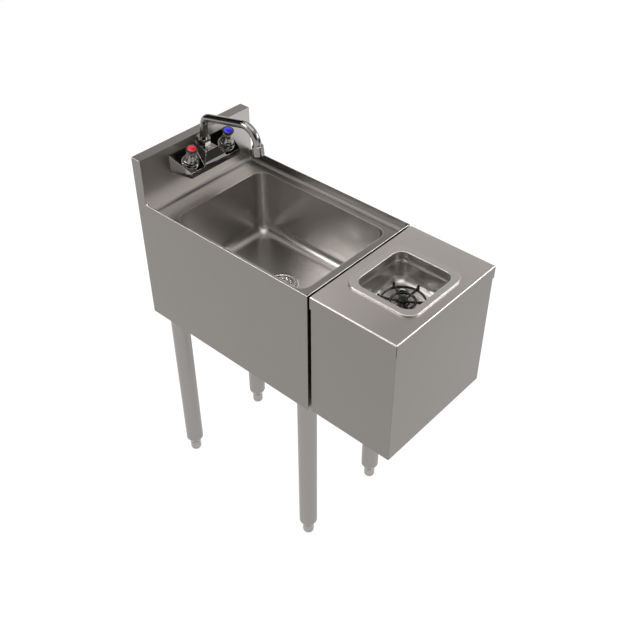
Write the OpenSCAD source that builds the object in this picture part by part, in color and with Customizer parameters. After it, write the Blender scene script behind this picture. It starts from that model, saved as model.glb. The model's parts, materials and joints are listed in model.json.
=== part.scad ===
// Underbar glass rinser: a bar sink cabinet on four legs with a faucet on its splash,
// and a glass rinser station in a box bolted to the front of the cabinet.
// The origin is on the floor under the middle. X runs to the right as the barkeeper
// stands at it, +Y runs back to the wall, +Z is up.

/* [Cabinet] */
// Width of the cabinet over its side panels
cabinet_w = 304.8; // [296:0.1:330]
// Depth of the cabinet from the wall to its front panel
cabinet_d = 469.9; // [460:0.1:520]
// Height of the rim above the floor
rim_h = 762; // [700:1:920]
// Height of the side and front panels
panel_h = 295.1; // [285:0.1:340]
// Thickness of the cabinet's sheet
sheet = 1.2; // [1:0.1:1.6]
// Width of the return folded in along each panel's bottom edge
panel_return = 12; // [6:1:13]

/* [Deck and splash] */
// Drop of the deck below the rim
deck_drop = 22; // [16:1:30]
// Inside radius where the deck turns up to the rim and the splash
cove_r = 8; // [4:0.5:12]
// Height of the splash above the rim
splash_h = 101.6; // [98:0.1:150]
// Depth of the splash from the wall to its face
splash_t = 25.4; // [24:0.1:40]
// Height of the lip turned down behind the splash
splash_lip = 12; // [6:1:20]

/* [Bowl] */
// Inside width of the bowl
bowl_w = 254; // [220:1:260]
// Inside depth of the bowl, front to back
bowl_d = 355.6; // [300:0.1:360]
// Depth of the bowl below the deck
bowl_depth = 152.4; // [120:0.1:160]
// Corner radius of the bowl seen from above
bowl_corner_r = 26; // [26:1:40]
// Radius between the bowl's walls and floor
bowl_floor_r = 24; // [10:1:25]
// Distance from the splash face to the bowl's back edge
bowl_setback = 54.3; // [45:0.1:62]
// Radius of the bowl's top edge where it meets the deck
bowl_edge_r = 2; // [2:0.5:6]

/* [Legs and feet] */
// Outside diameter of a leg tube
leg_dia = 41.3; // [38:0.1:42]
// Wall of a leg tube
leg_wall = 1.5; // [1.2:0.1:2]
// Distance from the cabinet's outside to each leg's axis
leg_inset = 38.1; // [38:0.1:60]
// Height of the leg tube's lower end above the floor
leg_clear = 47; // [44:1:60]
// Height of a leg rail's web above the panels' bottom edge
rail_rise = 40; // [34:1:60]
// Width of a leg rail
rail_w = 62; // [58:1:70]
// Height of a leg rail's flanges
rail_h = 22; // [12:1:26]
// Thickness of the leg rails
rail_t = 2; // [1.5:0.1:3]
// Wall of a leg socket
socket_wall = 2.4; // [2:0.1:2.8]
// Side of the square plate on top of a leg socket
socket_plate = 54; // [50:1:56]
// Thickness of that plate
socket_plate_t = 3; // [2:0.5:4]
// Diameter of a socket's set screw
set_screw_dia = 8; // [6:1:8]
// Diameter of a foot
foot_dia = 26; // [22:1:30]
// Radius of the rounding under a foot
foot_round = 9.5; // [6:0.5:10]
// Height of the bullet part of a foot
foot_h = 30.6; // [26:0.1:32]
// Diameter of a foot's threaded stem
foot_stem_dia = 12; // [10:1:14]
// Length of a foot's stem above the bullet
foot_stem_l = 68; // [66:1:90]
// Height of the straight band of a foot collar below the tube's end
collar_band = 2; // [1:0.5:4]
// Length of a foot collar inside its leg
collar_insert = 25; // [15:1:25]

/* [Bowl drain] */
// Diameter of the drain's flange on the bowl floor
drain_flange_dia = 76; // [70:1:90]
// Thickness of the drain's flange
drain_flange_t = 2; // [1.5:0.1:3]
// Outside diameter of the drain's threaded body
drain_body_dia = 57; // [54:1:62]
// Wall of the drain's body
drain_wall = 2.5; // [2:0.1:3]
// Depth of the drain's cup below the bowl floor
drain_cup_h = 36; // [34:1:42]
// Outside diameter of the tailpiece
tail_dia = 38.1; // [32:0.1:40]
// Wall of the tailpiece
tail_wall = 1.5; // [1.2:0.1:2]
// Length of the tailpiece below the drain's cup
tail_l = 50; // [40:1:52]
// Depth of the basket strainer
basket_h = 20; // [14:1:22]
// Width across flats of the drain's lock nut
drain_nut_af = 74; // [70:1:84]

/* [Faucet body] */
// Distance between the two handle axes
handle_centres = 101.6; // [101.6:0.1:110]
// Width of the faucet body against the splash
body_back_w = 160; // [158:1:176]
// Width of the faucet body at its front lip
body_front_w = 137; // [134:1:150]
// How far the faucet body stands out from its gasket
body_depth = 53; // [50:1:60]
// Height of the faucet body's underside above the rim
body_rise = 45.2; // [40:0.1:50]
// Height of the faucet body at the splash
body_back_h = 38.3; // [36:0.1:42]
// Height of the faucet body's front lip
body_lip_h = 12.4; // [11:0.1:16]
// Height of the raised middle block above the body's underside, at its front
block_front_h = 36.3; // [34:0.1:40]
// Height of the raised middle block at the splash
block_back_h = 43.4; // [40:0.1:46]
// Width of the middle block's front facet along the lip
block_low_w = 62; // [56:1:66]
// Width of the middle block's front facet along its top edge
block_top_w = 31.4; // [28:0.1:34]
// How far the middle block's top edge lies behind the lip
block_lean = 11.5; // [9:0.5:14]
// Thickness of the gasket behind the faucet body
gasket_t = 1; // [0.8:0.1:2]
// Outside diameter of the inlet shanks
shank_dia = 20.6; // [19:0.1:21]
// Length of an inlet shank behind the splash face
shank_l = 23; // [20:0.5:24]
// Waterway through an inlet shank
waterway_dia = 11; // [9:0.5:12]

/* [Spout] */
// Outside diameter of the spout tube
spout_dia = 16.6; // [14:0.1:18]
// Wall of the spout tube
spout_wall = 1.3; // [1:0.1:2]
// Distance from the splash face to the spout's axis on the body
spout_stand = 19; // [18.5:0.5:22]
// Forward tilt of the spout's axis, degrees
spout_tilt = 9; // [0:1:12]
// Height along the axis where riser and arm would meet
spout_rise = 63.4; // [55:0.1:90]
// Length from there to where arm and nozzle would meet
spout_arm = 149; // [120:1:200]
// Upward slope of the arm against the riser's square, degrees
arm_slope = 21.2; // [5:0.1:30]
// Outward slope of the nozzle against the riser, degrees
nozzle_slope = 15; // [0:1:20]
// Bend radius between riser and arm
riser_bend_r = 20; // [15:1:30]
// Bend radius between arm and nozzle
nozzle_bend_r = 33; // [25:1:35]
// Length of straight tube below the nozzle's bend
nozzle_l = 10; // [8:1:20]
// Diameter of the aerator
aerator_dia = 23.4; // [22:0.1:26]
// Length of the aerator
aerator_l = 20; // [16:1:24]
// Width across flats of the spout's nut
spout_nut_af = 25.4; // [24:0.1:28]
// Height of the spout's nut
spout_nut_h = 15; // [12:1:20]

/* [Handles] */
// Forward tilt of the handle axes, degrees
handle_tilt = 14; // [8:1:20]
// Height of a handle's top above the rim
handle_top_rise = 103.2; // [101:0.1:106]
// Distance from the splash face to the middle of a handle's top
handle_stand = 40.6; // [38:0.1:44]
// Diameter of a handle's top
handle_top_dia = 23; // [21:0.5:25]
// Diameter of a handle's waist
handle_waist_dia = 19.5; // [18:0.5:21]
// Diameter of a handle's skirt
handle_skirt_dia = 31; // [28:0.5:33]
// Height of a handle
handle_h = 26; // [24:1:28]
// Number of flutes around a handle
flute_count = 6; // [4:1:10]
// Diameter of the cutter that makes a flute
flute_dia = 11; // [6:0.5:14]
// Diameter of the index button's rim ring
index_ring_dia = 25; // [23:0.5:28]
// Thickness of that ring
index_ring_t = 3.4; // [2.5:0.1:5]
// Diameter of the coloured index button
index_dia = 20.6; // [18:0.1:21]
// Diameter of the round boss under a handle
boss_dia = 35; // [33:0.5:38]

/* [Rinser box] */
// Depth of the rinser box
box_d = 199.7; // [190:0.1:260]
// Gap between the cabinet and the box
box_gap = 3.5; // [2:0.1:6]
// How far each side of the box is set in from the cabinet's side
box_inset = 1.5; // [0.5:0.1:4]
// How much higher the box ends below than the cabinet's panels
box_bottom_rise = 1.5; // [0:0.1:10]
// Height of the cover's skirt
cover_skirt = 28; // [20:1:40]
// Outside bend radius of the cover's edges
cover_bend_r = 3; // [2.4:0.1:5]
// Width of the open slit at each corner of the cover
corner_slit = 1.2; // [0.8:0.1:2]
// Play between the cover's skirt and the shell
cover_play = 0.3; // [0.2:0.1:0.6]
// Width of the box shell's flanges at the back
shell_flange = 16; // [12:1:24]
// Diameter of the bolts that hold the box
bolt_dia = 6; // [5:1:8]
// Distance of the box bolts from the cabinet's sides
bolt_inset = 42.4; // [37.4:1:62.4]
// Distance of the upper bolts below the rim
bolt_top = 60; // [50:1:80]
// Distance of the lower bolts above the box's bottom edge
bolt_low = 60; // [50:1:80]

/* [Rinser pan] */
// Width of the pan over its flange
pan_flange_w = 166; // [160:1:176]
// Depth of the pan over its flange
pan_flange_d = 156; // [150:1:166]
// Corner radius of the flange
pan_flange_r = 24; // [20:1:30]
// Width of the pan's opening
pan_w = 138; // [130:1:142]
// Depth of the pan's opening, front to back
pan_d = 128; // [120:1:132]
// Corner radius of the opening
pan_corner_r = 22; // [18:1:26]
// Depth of the pan below its flange
pan_depth = 65; // [60:1:70]
// Height of the flange above the cover
pan_lip = 4; // [3:0.5:6]
// Depth of the stacking shoulder below the flange
pan_shoulder = 20; // [14:1:26]
// How far the shoulder steps in
pan_step = 3; // [2:0.5:5]
// Radius between the pan's walls and floor
pan_floor_r = 15; // [8:1:18]
// Thickness of the pan's sheet
pan_sheet = 0.9; // [0.7:0.1:1.2]
// Outside bend radius of the pan's opening and of its turned-down rim
pan_edge_r = 2.2; // [1.5:0.1:3]
// How far the pan's drain lies to the right of the rinser
pan_drain_x = 34; // [30:1:38]
// How far the pan's drain lies behind the rinser
pan_drain_y = 27; // [22:1:32]
// Diameter of the pan drain's flange
pan_drain_flange_dia = 26; // [24:1:30]
// Diameter of the pan drain's threaded shank
pan_drain_dia = 20; // [18:0.5:21]
// Waterway through the pan drain
pan_drain_bore = 13; // [10:0.5:14]
// Length of the pan drain's shank under the pan
pan_drain_l = 34; // [28:1:45]

/* [Rinser valve] */
// Middle radius of the star's outer ring
star_outer_r = 42.8; // [38:0.1:46]
// Middle radius of the star's inner ring
star_inner_r = 24.2; // [20:0.1:28]
// Width of the star's rings
star_ring_w = 3.6; // [3:0.1:4.5]
// Height of the star's rings
star_ring_h = 4.6; // [3:0.1:6]
// Height of the star's rings above the pan floor
star_rise = 11; // [9.5:0.5:14]
// Number of the star's arms
arm_count = 6; // [4:1:8]
// Width of an arm
arm_w = 3; // [2.4:0.1:4]
// Radius at which an arm ends
arm_r = 47; // [45:0.5:50]
// How far the arms' tips stand above the rings
arm_lift = 5; // [2:0.5:8]
// Diameter of the nub at an arm's tip
nub_dia = 5.6; // [4:0.1:7]
// Diameter of the star's hub
hub_dia = 18; // [16:0.5:20]
// Height of the hub's top above the rings' underside
hub_h = 9; // [8:0.5:12]
// Diameter of the valve's stem
stem_dia = 8; // [7:0.5:9]
// Diameter of the valve body's flange in the pan
valve_flange_dia = 32; // [30:1:36]
// Thickness of that flange
valve_flange_t = 2.5; // [2:0.1:3]
// Diameter of the valve body's threaded shank
valve_shank_dia = 22; // [20:0.5:24]
// Length of the valve body's shank under the pan floor
valve_shank_l = 22; // [20:1:30]
// Diameter of the valve's chamber under the shank
chamber_dia = 28; // [26:1:32]
// Height of the valve's chamber
chamber_h = 24; // [20:1:30]
// Diameter of the rinser's inlet
inlet_dia = 13.2; // [12:0.1:14]
// Length of the rinser's inlet
inlet_l = 16; // [14:1:24]
// Wire diameter of the return spring
wire_dia = 1; // [0.8:0.1:1.1]
// Number of turns of the return spring
spring_turns = 5; // [4:1:6]

/* [Hidden] */

$fn = 64;
// Overrun of a cut past the face it leaves
cut = 1;
// Running play on the radius of a shaft in its bore
play = 0.05;
// Gap between parts that lie close but don't touch
gap = 0.3;
// How far a pipe's open end is turned down below the part that its nut sits on
end_relief = 0.4;
// Colours
steel = "#9a9792";
chrome_plate = "#c9cbcd";
brass = "#b99a52";
black_plastic = "#1b1b1c";
rubber = "#2c2c2c";

// Places along Y
total_d = cabinet_d + box_gap + box_d;
back_y = total_d / 2;
splash_face_y = back_y - splash_t;
front_y = back_y - cabinet_d;
bowl_y = splash_face_y - bowl_setback - bowl_d / 2;
box_back_y = front_y - box_gap;
box_y = box_back_y - box_d / 2;
// Heights
deck_z = rim_h - deck_drop;
splash_top = rim_h + splash_h;
panel_bottom = rim_h - panel_h;
bowl_floor_z = deck_z - bowl_depth;
box_bottom = panel_bottom + box_bottom_rise;
rail_z = panel_bottom + rail_rise;
pan_top = rim_h + pan_lip;
pan_floor_z = pan_top - pan_depth;
// Inside half width of the cabinet
inner_x = cabinet_w / 2 - sheet;
// Legs
leg_r = leg_dia / 2;
leg_x = cabinet_w / 2 - leg_inset;
leg_front_y = front_y + leg_inset;
leg_rear_y = back_y - leg_inset;
leg_top = rail_z - rail_t - socket_plate_t;
socket_r = leg_r + gap / 2 + socket_wall;
socket_bottom = panel_bottom + sheet + gap;
set_screw_z = (socket_bottom + leg_top) / 2;
// Drain
drain_hole_r = drain_body_dia / 2 + gap;
drain_cup_bottom = bowl_floor_z - drain_cup_h;
drain_gasket_t = 3;
drain_nut_h = 8;
basket_sheet = 1;
basket_hole_dia = 4;
basket_ring_shares = [[6, 0.32], [12, 0.56], [18, 0.8]];
tail_nut_dia = 50;
tail_nut_h = 16;
tail_grip = 6 * tail_wall;
// Faucet body: its back, front and underside, and the block's top seen from the side
body_y = splash_face_y - gasket_t;
body_front_y = body_y - body_depth;
body_z = rim_h + body_rise;
block_edge_y = body_front_y + block_lean;
shank_z = body_z + body_back_h / 2;
shank_nut_h = 6;
shank_washer_t = 1.5;
// Spout: its foot on the block, its bends and its nozzle in the spout's own frame
spout_y = splash_face_y - spout_stand;
spout_z = body_z + block_front_h
    + (block_back_h - block_front_h) * (spout_y - block_edge_y) / (body_y - block_edge_y);
riser_cut = riser_bend_r * tan((90 - arm_slope) / 2);
nozzle_cut = nozzle_bend_r * tan((90 + arm_slope - nozzle_slope) / 2);
spout_r = spout_dia / 2;
spout_seat = 1;
spout_seal_t = 3;
spout_socket_depth = 16;
spout_foot = 12;
spout_collar_r = spout_r + spout_wall;
spout_collar_h = 3;
bend_swell = 0.06;
bend_lap = 0.5;
aerator_seat = 8;
aerator_wall = 2;
aerator_groove_count = 24;
aerator_groove_dia = 1.6;
screen_t = 1.2;
screen_hole_dia = 2;
screen_ring_shares = [[1, 0], [6, 0.36], [12, 0.7]];
// Handles: heights are measured down from the middle of a handle's top
handle_y = splash_face_y - handle_stand;
handle_z = rim_h + handle_top_rise;
handle_bottom = index_ring_t + handle_h;
boss_gap = 2;
boss_l = 12;
boss_top = handle_bottom + boss_gap;
boss_foot = boss_top + boss_l;
index_floor = 1;
waist_share = 0.3;
flute_depth = 1.6;
cartridge_dia = 20;
cartridge_l = 20;
bonnet_dia = 22;
bonnet_t = 2.5;
bonnet_neck_dia = 14;
bonnet_rise = 6;
valve_stem_dia = 8;
valve_stem_drop = 6;
valve_stem_reach = 14;
valve_stem_top = index_ring_t + valve_stem_drop;
valve_stem_foot = boss_top + valve_stem_reach;
handle_recess_h = 9;
// Rinser box
box_x = cabinet_w / 2 - box_inset;
shell_x = box_x - sheet - cover_play;
shell_d = box_d - 2 * (sheet + cover_play);
shell_back_y = box_back_y - sheet - cover_play;
shell_bend_r = 2.2;
back_plate_y = shell_back_y - sheet;
bolt_x = cabinet_w / 2 - bolt_inset;
bolt_head_af = 10;
bolt_head_h = 4;
spacer_dia = 14;
// Rinser valve: places along Z
star_z = pan_floor_z + star_rise;
pan_under_z = pan_floor_z - pan_sheet;
valve_gasket_t = 1;
valve_seat_z = pan_floor_z + valve_gasket_t;
valve_foot_z = pan_floor_z - valve_shank_l;
valve_nut_af = 32;
valve_nut_h = 7;
chamber_wall = 2.5;
chamber_thread_l = 8;
chamber_z = valve_foot_z - chamber_h;
disc_dia = 14;
disc_t = 2;
disc_z = valve_foot_z - gap - disc_t;
stem_bore = 4;
nozzle_dia = 12;
nozzle_t = 3;
nozzle_rise = 1;
nozzle_bore = 5;
spring_z = chamber_z + chamber_wall;
spring_sides = 6;
spring_steps = 8;
pan_nut_af = 28;
pan_nut_h = 6;
pan_drain_flange_t = 1.6;

module round_rect(w, d, r) {
    square([w - 2 * r, d], center = true);
    square([w, d - 2 * r], center = true);
    for (sx = [-1, 1], sy = [-1, 1])
        translate([sx * (w / 2 - r), sy * (d / 2 - r)]) circle(r);
}

// Quarter of a floor corner in section: flat to r_plan - r_floor, then a quarter round
module floor_corner_profile(r_plan, r_floor) {
    if (r_plan > r_floor) square([r_plan - r_floor, r_floor]);
    translate([r_plan - r_floor, r_floor]) intersection() {
        circle(r_floor);
        translate([0, -r_floor]) square(r_floor);
    }
}

// A solid block with rounded upright edges and a rounded floor edge, floor at Z 0
module tub(w, d, h, r_plan, r_floor) {
    inner_w = w - 2 * r_plan;
    inner_d = d - 2 * r_plan;
    translate([0, 0, r_floor]) linear_extrude(h - r_floor) round_rect(w, d, r_plan);
    translate([-inner_w / 2, -inner_d / 2, 0]) cube([inner_w, inner_d, r_floor]);
    for (side = [0, 180]) rotate([0, 0, side]) {
        translate([inner_w / 2, inner_d / 2, 0]) rotate([90, 0, 0])
            linear_extrude(inner_d) floor_corner_profile(r_plan, r_floor);
        translate([-inner_w / 2, inner_d / 2, 0]) rotate([90, 0, 90])
            linear_extrude(inner_w) floor_corner_profile(r_plan, r_floor);
    }
    for (corner = [0:3]) {
        sx = corner == 0 || corner == 3 ? 1 : -1;
        sy = corner < 2 ? 1 : -1;
        translate([sx * inner_w / 2, sy * inner_d / 2, 0]) rotate([0, 0, 90 * corner])
            rotate_extrude(angle = 90) floor_corner_profile(r_plan, r_floor);
    }
}

// Runs a section round a rounded rectangle's outline, its x outward from the outline
module around(w, d, r_plan) {
    inner_w = w - 2 * r_plan;
    inner_d = d - 2 * r_plan;
    for (side = [0, 180]) rotate([0, 0, side]) {
        translate([w / 2, inner_d / 2, 0]) rotate([90, 0, 0]) linear_extrude(inner_d)
            children();
        translate([-inner_w / 2, d / 2, 0]) rotate([90, 0, 90]) linear_extrude(inner_w)
            children();
    }
    for (corner = [0:3]) {
        sx = corner == 0 || corner == 3 ? 1 : -1;
        sy = corner < 2 ? 1 : -1;
        translate([sx * inner_w / 2, sy * inner_d / 2, 0]) rotate([0, 0, 90 * corner])
            rotate_extrude(angle = 90) translate([r_plan, 0]) children();
    }
}

// Section of a sheet that leaves a wall below Z 0 and bends outward to lie flat under Z 0
module rolled_section(r, t) {
    translate([r, -r]) intersection() {
        difference() {
            circle(r);
            circle(r - t);
        }
        translate([-r, 0]) square(r);
    }
}

// Section of a sheet's edge bent down from Z 0, h high and inside the outline
module turned_section(r, t, h) {
    mirror([1, 0]) rolled_section(r, t);
    translate([-t, -h]) square([t, h - r]);
}

// A flat ring standing on Z 0
module ring(r_out, r_in, h) {
    difference() {
        cylinder(r = r_out, h = h);
        translate([0, 0, -cut]) cylinder(r = r_in, h = h + 2 * cut);
    }
}

// A hexagon nut standing on Z 0, its top corners chamfered
module hex_nut(across_flats, r_bore, h) {
    corner_r = across_flats / 2 / cos(30);
    chamfer = corner_r - across_flats / 2;
    difference() {
        intersection() {
            cylinder(r = corner_r, h = h, $fn = 6);
            union() {
                cylinder(r = corner_r + cut, h = h - chamfer);
                translate([0, 0, h - chamfer])
                    cylinder(r1 = corner_r + chamfer / 2, r2 = corner_r - chamfer, h = chamfer);
            }
        }
        translate([0, 0, -cut]) cylinder(r = r_bore, h = h + 2 * cut);
    }
}

// The deck tray with its upturned edges, the splash face and the splash's top return
module deck_splash() {
    tray_w = 2 * inner_x;
    tray_d = splash_face_y - front_y;
    tray_y = (splash_face_y + front_y) / 2 + sheet;
    color(steel) difference() {
        union() {
            translate([0, tray_y, deck_z - sheet]) difference() {
                tub(tray_w, tray_d, deck_drop + sheet, cove_r + sheet, cove_r + sheet);
                translate([0, 0, sheet])
                    tub(tray_w - 2 * sheet, tray_d - 2 * sheet, deck_drop + cut, cove_r, cove_r);
            }
            translate([-inner_x, splash_face_y, rim_h]) cube([tray_w, sheet, splash_h]);
            translate([-inner_x, splash_face_y, splash_top - sheet])
                cube([tray_w, splash_t, sheet]);
            translate([-inner_x, back_y - sheet, splash_top - splash_lip])
                cube([tray_w, sheet, splash_lip]);
        }
        translate([0, bowl_y, deck_z - 2 * sheet]) linear_extrude(4 * sheet)
            round_rect(bowl_w + 2 * bowl_edge_r, bowl_d + 2 * bowl_edge_r,
                       bowl_corner_r + bowl_edge_r);
        for (side = [-1, 1])
            translate([side * handle_centres / 2, splash_face_y - cut, shank_z])
                rotate([-90, 0, 0]) cylinder(r = shank_dia / 2 + gap, h = sheet + 2 * cut);
    }
}

// The deep-drawn bowl, its rolled top edge welded flush into the deck
module sink_bowl() {
    wall_w = bowl_w + 2 * sheet;
    wall_d = bowl_d + 2 * sheet;
    color(steel) translate([0, bowl_y, bowl_floor_z]) {
        difference() {
            translate([0, 0, -sheet])
                tub(wall_w, wall_d, bowl_depth + sheet - bowl_edge_r, bowl_corner_r + sheet,
                    bowl_floor_r + sheet);
            tub(bowl_w, bowl_d, bowl_depth, bowl_corner_r, bowl_floor_r);
            translate([0, 0, -sheet - cut]) cylinder(r = drain_hole_r, h = sheet + 2 * cut);
        }
        translate([0, 0, bowl_depth]) around(bowl_w, bowl_d, bowl_corner_r)
            rolled_section(bowl_edge_r, sheet);
    }
}

// One flat side with the splash's end on it and a return along the bottom
module side_panel() {
    translate([-cabinet_w / 2, 0, 0]) rotate([90, 0, 90]) linear_extrude(sheet)
        polygon([[front_y, panel_bottom], [back_y, panel_bottom], [back_y, splash_top],
                 [splash_face_y, splash_top], [splash_face_y, rim_h], [front_y, rim_h]]);
    translate([-inner_x, front_y + sheet, panel_bottom])
        cube([panel_return, cabinet_d - sheet, sheet]);
}

module left_panel() {
    color(steel) side_panel();
}

module right_panel() {
    color(steel) mirror([1, 0, 0]) side_panel();
}

// Bolt places on the cabinet's front, as X and Z
box_bolt_places = [for (side = [-1, 1], z = [rim_h - bolt_top, box_bottom + bolt_low])
    [side * bolt_x, z]];

module front_panel() {
    return_x = inner_x - panel_return;
    color(steel) difference() {
        union() {
            translate([-inner_x, front_y, panel_bottom]) cube([2 * inner_x, sheet, panel_h]);
            translate([-return_x, front_y + sheet, panel_bottom])
                cube([2 * return_x, panel_return, sheet]);
        }
        for (place = box_bolt_places)
            translate([place[0], front_y - cut, place[1]]) rotate([-90, 0, 0])
                cylinder(r = bolt_dia / 2 + gap, h = sheet + 2 * cut);
    }
}

// A channel between the side panels, open below, that carries two legs
module leg_rail(y) {
    translate([-inner_x, y - rail_w / 2, rail_z - rail_t]) cube([2 * inner_x, rail_w, rail_t]);
    for (edge = [-rail_w / 2, rail_w / 2 - rail_t])
        translate([-inner_x, y + edge, rail_z - rail_h]) cube([2 * inner_x, rail_t, rail_h]);
}

module front_leg_rail() {
    color(steel) leg_rail(leg_front_y);
}

module rear_leg_rail() {
    color(steel) leg_rail(leg_rear_y);
}

// Calls its children once at each leg, with X mirrored on the right
module at_legs() {
    for (y = [leg_front_y, leg_rear_y]) {
        translate([-leg_x, y, 0]) children();
        translate([leg_x, y, 0]) mirror([1, 0, 0]) children();
    }
}

module leg_sockets() {
    color(steel) at_legs() difference() {
        union() {
            translate([0, 0, socket_bottom])
                cylinder(r = socket_r, h = leg_top - socket_bottom);
            translate([-socket_plate / 2, -socket_plate / 2, leg_top])
                cube([socket_plate, socket_plate, socket_plate_t]);
        }
        translate([0, 0, socket_bottom - cut])
            cylinder(r = leg_r + gap / 2, h = leg_top - socket_bottom + cut);
        translate([0, 0, set_screw_z]) rotate([0, 90, 0])
            cylinder(r = set_screw_dia / 2 + play, h = socket_r + cut);
    }
}

module socket_screws() {
    screw_l = socket_wall + set_screw_dia / 2;
    color(steel) at_legs() translate([leg_r, 0, set_screw_z]) rotate([0, 90, 0])
        difference() {
            cylinder(r = set_screw_dia / 2, h = screw_l);
            translate([0, 0, screw_l / 2])
                cylinder(r = set_screw_dia / 4, h = screw_l, $fn = 6);
        }
}

module leg_tube(x, y) {
    color(steel) translate([x, y, leg_clear])
        ring(leg_r, leg_r - leg_wall, leg_top - leg_clear);
}

module leg_front_left() { leg_tube(-leg_x, leg_front_y); }
module leg_front_right() { leg_tube(leg_x, leg_front_y); }
module leg_rear_left() { leg_tube(-leg_x, leg_rear_y); }
module leg_rear_right() { leg_tube(leg_x, leg_rear_y); }

// The tapered collars pressed into the lower ends of the legs
module foot_collars() {
    bore_r = foot_stem_dia / 2 + play;
    insert_r = leg_r - leg_wall;
    band_z = leg_clear - collar_band;
    tip_z = foot_h + gap;
    color(steel) at_legs() rotate_extrude()
        polygon([[bore_r, tip_z], [foot_dia / 2, tip_z], [leg_r, band_z], [leg_r, leg_clear],
                 [insert_r, leg_clear], [insert_r, leg_clear + collar_insert],
                 [bore_r, leg_clear + collar_insert]]);
}

// A bullet foot with its stem, standing on the floor
module foot(x, y) {
    foot_r = foot_dia / 2;
    color(steel) translate([x, y, 0]) rotate_extrude() {
        square([foot_r - foot_round, foot_h]);
        translate([0, foot_round]) square([foot_r, foot_h - foot_round]);
        translate([foot_r - foot_round, foot_round]) intersection() {
            circle(foot_round);
            translate([0, -foot_round]) square(foot_round);
        }
        translate([0, foot_h]) square([foot_stem_dia / 2, foot_stem_l]);
    }
}

module foot_front_left() { foot(-leg_x, leg_front_y); }
module foot_front_right() { foot(leg_x, leg_front_y); }
module foot_rear_left() { foot(-leg_x, leg_rear_y); }
module foot_rear_right() { foot(leg_x, leg_rear_y); }

// Moves its children to the middle of the bowl's floor
module at_drain() {
    translate([0, bowl_y, 0]) children();
}

// The dished flange in the bowl with its threaded cup and spigot
module drain_body() {
    flange_r = drain_flange_dia / 2;
    body_r = drain_body_dia / 2;
    cup_r = body_r - drain_wall;
    spigot_r = tail_dia / 2;
    spigot_z = drain_cup_bottom - tail_nut_h;
    color(chrome_plate) at_drain() difference() {
        union() {
            translate([0, 0, bowl_floor_z])
                cylinder(r1 = flange_r, r2 = flange_r - drain_flange_t, h = drain_flange_t);
            translate([0, 0, drain_cup_bottom])
                cylinder(r = body_r, h = bowl_floor_z - drain_cup_bottom);
            translate([0, 0, spigot_z])
                cylinder(r = spigot_r + drain_wall, h = drain_cup_bottom - spigot_z);
        }
        translate([0, 0, bowl_floor_z])
            cylinder(r1 = cup_r, r2 = flange_r - 2 * drain_flange_t, h = drain_flange_t + cut / 10);
        translate([0, 0, drain_cup_bottom + drain_wall])
            cylinder(r = cup_r, h = drain_cup_h);
        translate([0, 0, spigot_z - cut])
            cylinder(r = spigot_r - drain_wall,
                     h = drain_cup_bottom - spigot_z + drain_wall + 2 * cut);
    }
}

module drain_gasket() {
    color(rubber) at_drain() translate([0, 0, bowl_floor_z - sheet - drain_gasket_t])
        ring(drain_nut_af / 2, drain_body_dia / 2, drain_gasket_t);
}

module drain_locknut() {
    color(brass) at_drain()
        translate([0, 0, bowl_floor_z - sheet - drain_gasket_t])
            mirror([0, 0, 1]) hex_nut(drain_nut_af, drain_body_dia / 2, drain_nut_h);
}

// The tube that takes the trap, held by its slip nut
module drain_tailpiece() {
    spigot_z = drain_cup_bottom - tail_nut_h;
    collar_h = 2 * tail_wall;
    color(chrome_plate) at_drain() difference() {
        union() {
            translate([0, 0, spigot_z - tail_l]) cylinder(r = tail_dia / 2, h = tail_l);
            translate([0, 0, spigot_z - tail_grip])
                cylinder(r = tail_dia / 2 + end_relief, h = tail_grip);
            translate([0, 0, spigot_z - collar_h])
                cylinder(r = tail_dia / 2 + drain_wall, h = collar_h);
        }
        translate([0, 0, spigot_z - tail_l - cut])
            cylinder(r = tail_dia / 2 - tail_wall, h = tail_l + 2 * cut);
    }
}

module tailpiece_nut() {
    spigot_z = drain_cup_bottom - tail_nut_h;
    thread_r = tail_dia / 2 + drain_wall;
    color(chrome_plate) at_drain() difference() {
        translate([0, 0, spigot_z - tail_grip])
            hex_nut(tail_nut_dia, tail_dia / 2 + end_relief + gap, tail_nut_h);
        translate([0, 0, spigot_z - 2 * tail_wall])
            cylinder(r = thread_r, h = tail_nut_h + cut);
    }
}

// The lift-out basket: a rim on the flange's dish, a perforated cup and a knob
module drain_basket() {
    seat_r = drain_body_dia / 2 - drain_wall;
    cup_r = seat_r - gap;
    dish = (drain_flange_dia / 2 - 2 * drain_flange_t - seat_r) / drain_flange_t;
    rim_t = drain_flange_t / 2;
    knob_r = drain_wall;
    color(steel) at_drain() translate([0, 0, bowl_floor_z - basket_h]) {
        difference() {
            union() {
                cylinder(r = cup_r, h = basket_h + gap);
                translate([0, 0, basket_h + gap])
                    cylinder(r1 = seat_r, r2 = seat_r + dish * rim_t, h = rim_t);
            }
            translate([0, 0, basket_sheet])
                cylinder(r = cup_r - basket_sheet, h = basket_h + drain_flange_t + cut);
            for (row = basket_ring_shares)
                for (hole = [0:row[0] - 1])
                    rotate([0, 0, hole * 360 / row[0]])
                        translate([cup_r * row[1], 0, -cut])
                            cylinder(r = basket_hole_dia / 2, h = 2 * cut + basket_sheet);
        }
        cylinder(r = knob_r, h = basket_h);
        translate([0, 0, basket_h]) sphere(r = 2 * knob_r);
    }
}

// A block as wide as w_back at Y 0 and w_front at Y -d, standing on Z 0
module body_plan(w_back, w_front, d, h) {
    linear_extrude(h) polygon([[-w_back / 2, 0], [w_back / 2, 0], [w_front / 2, -d],
                               [-w_front / 2, -d]]);
}

// A prism along X whose section is given as Y and Z
module side_prism(w, points) {
    rotate([90, 0, 90]) linear_extrude(w, center = true) polygon(points);
}

// Half width of the middle block at a height above the body's underside
function block_half_w(z) = block_top_w / 2
    + (block_low_w - block_top_w) / 2 * (block_front_h - z) / (block_front_h - body_lip_h);

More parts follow.
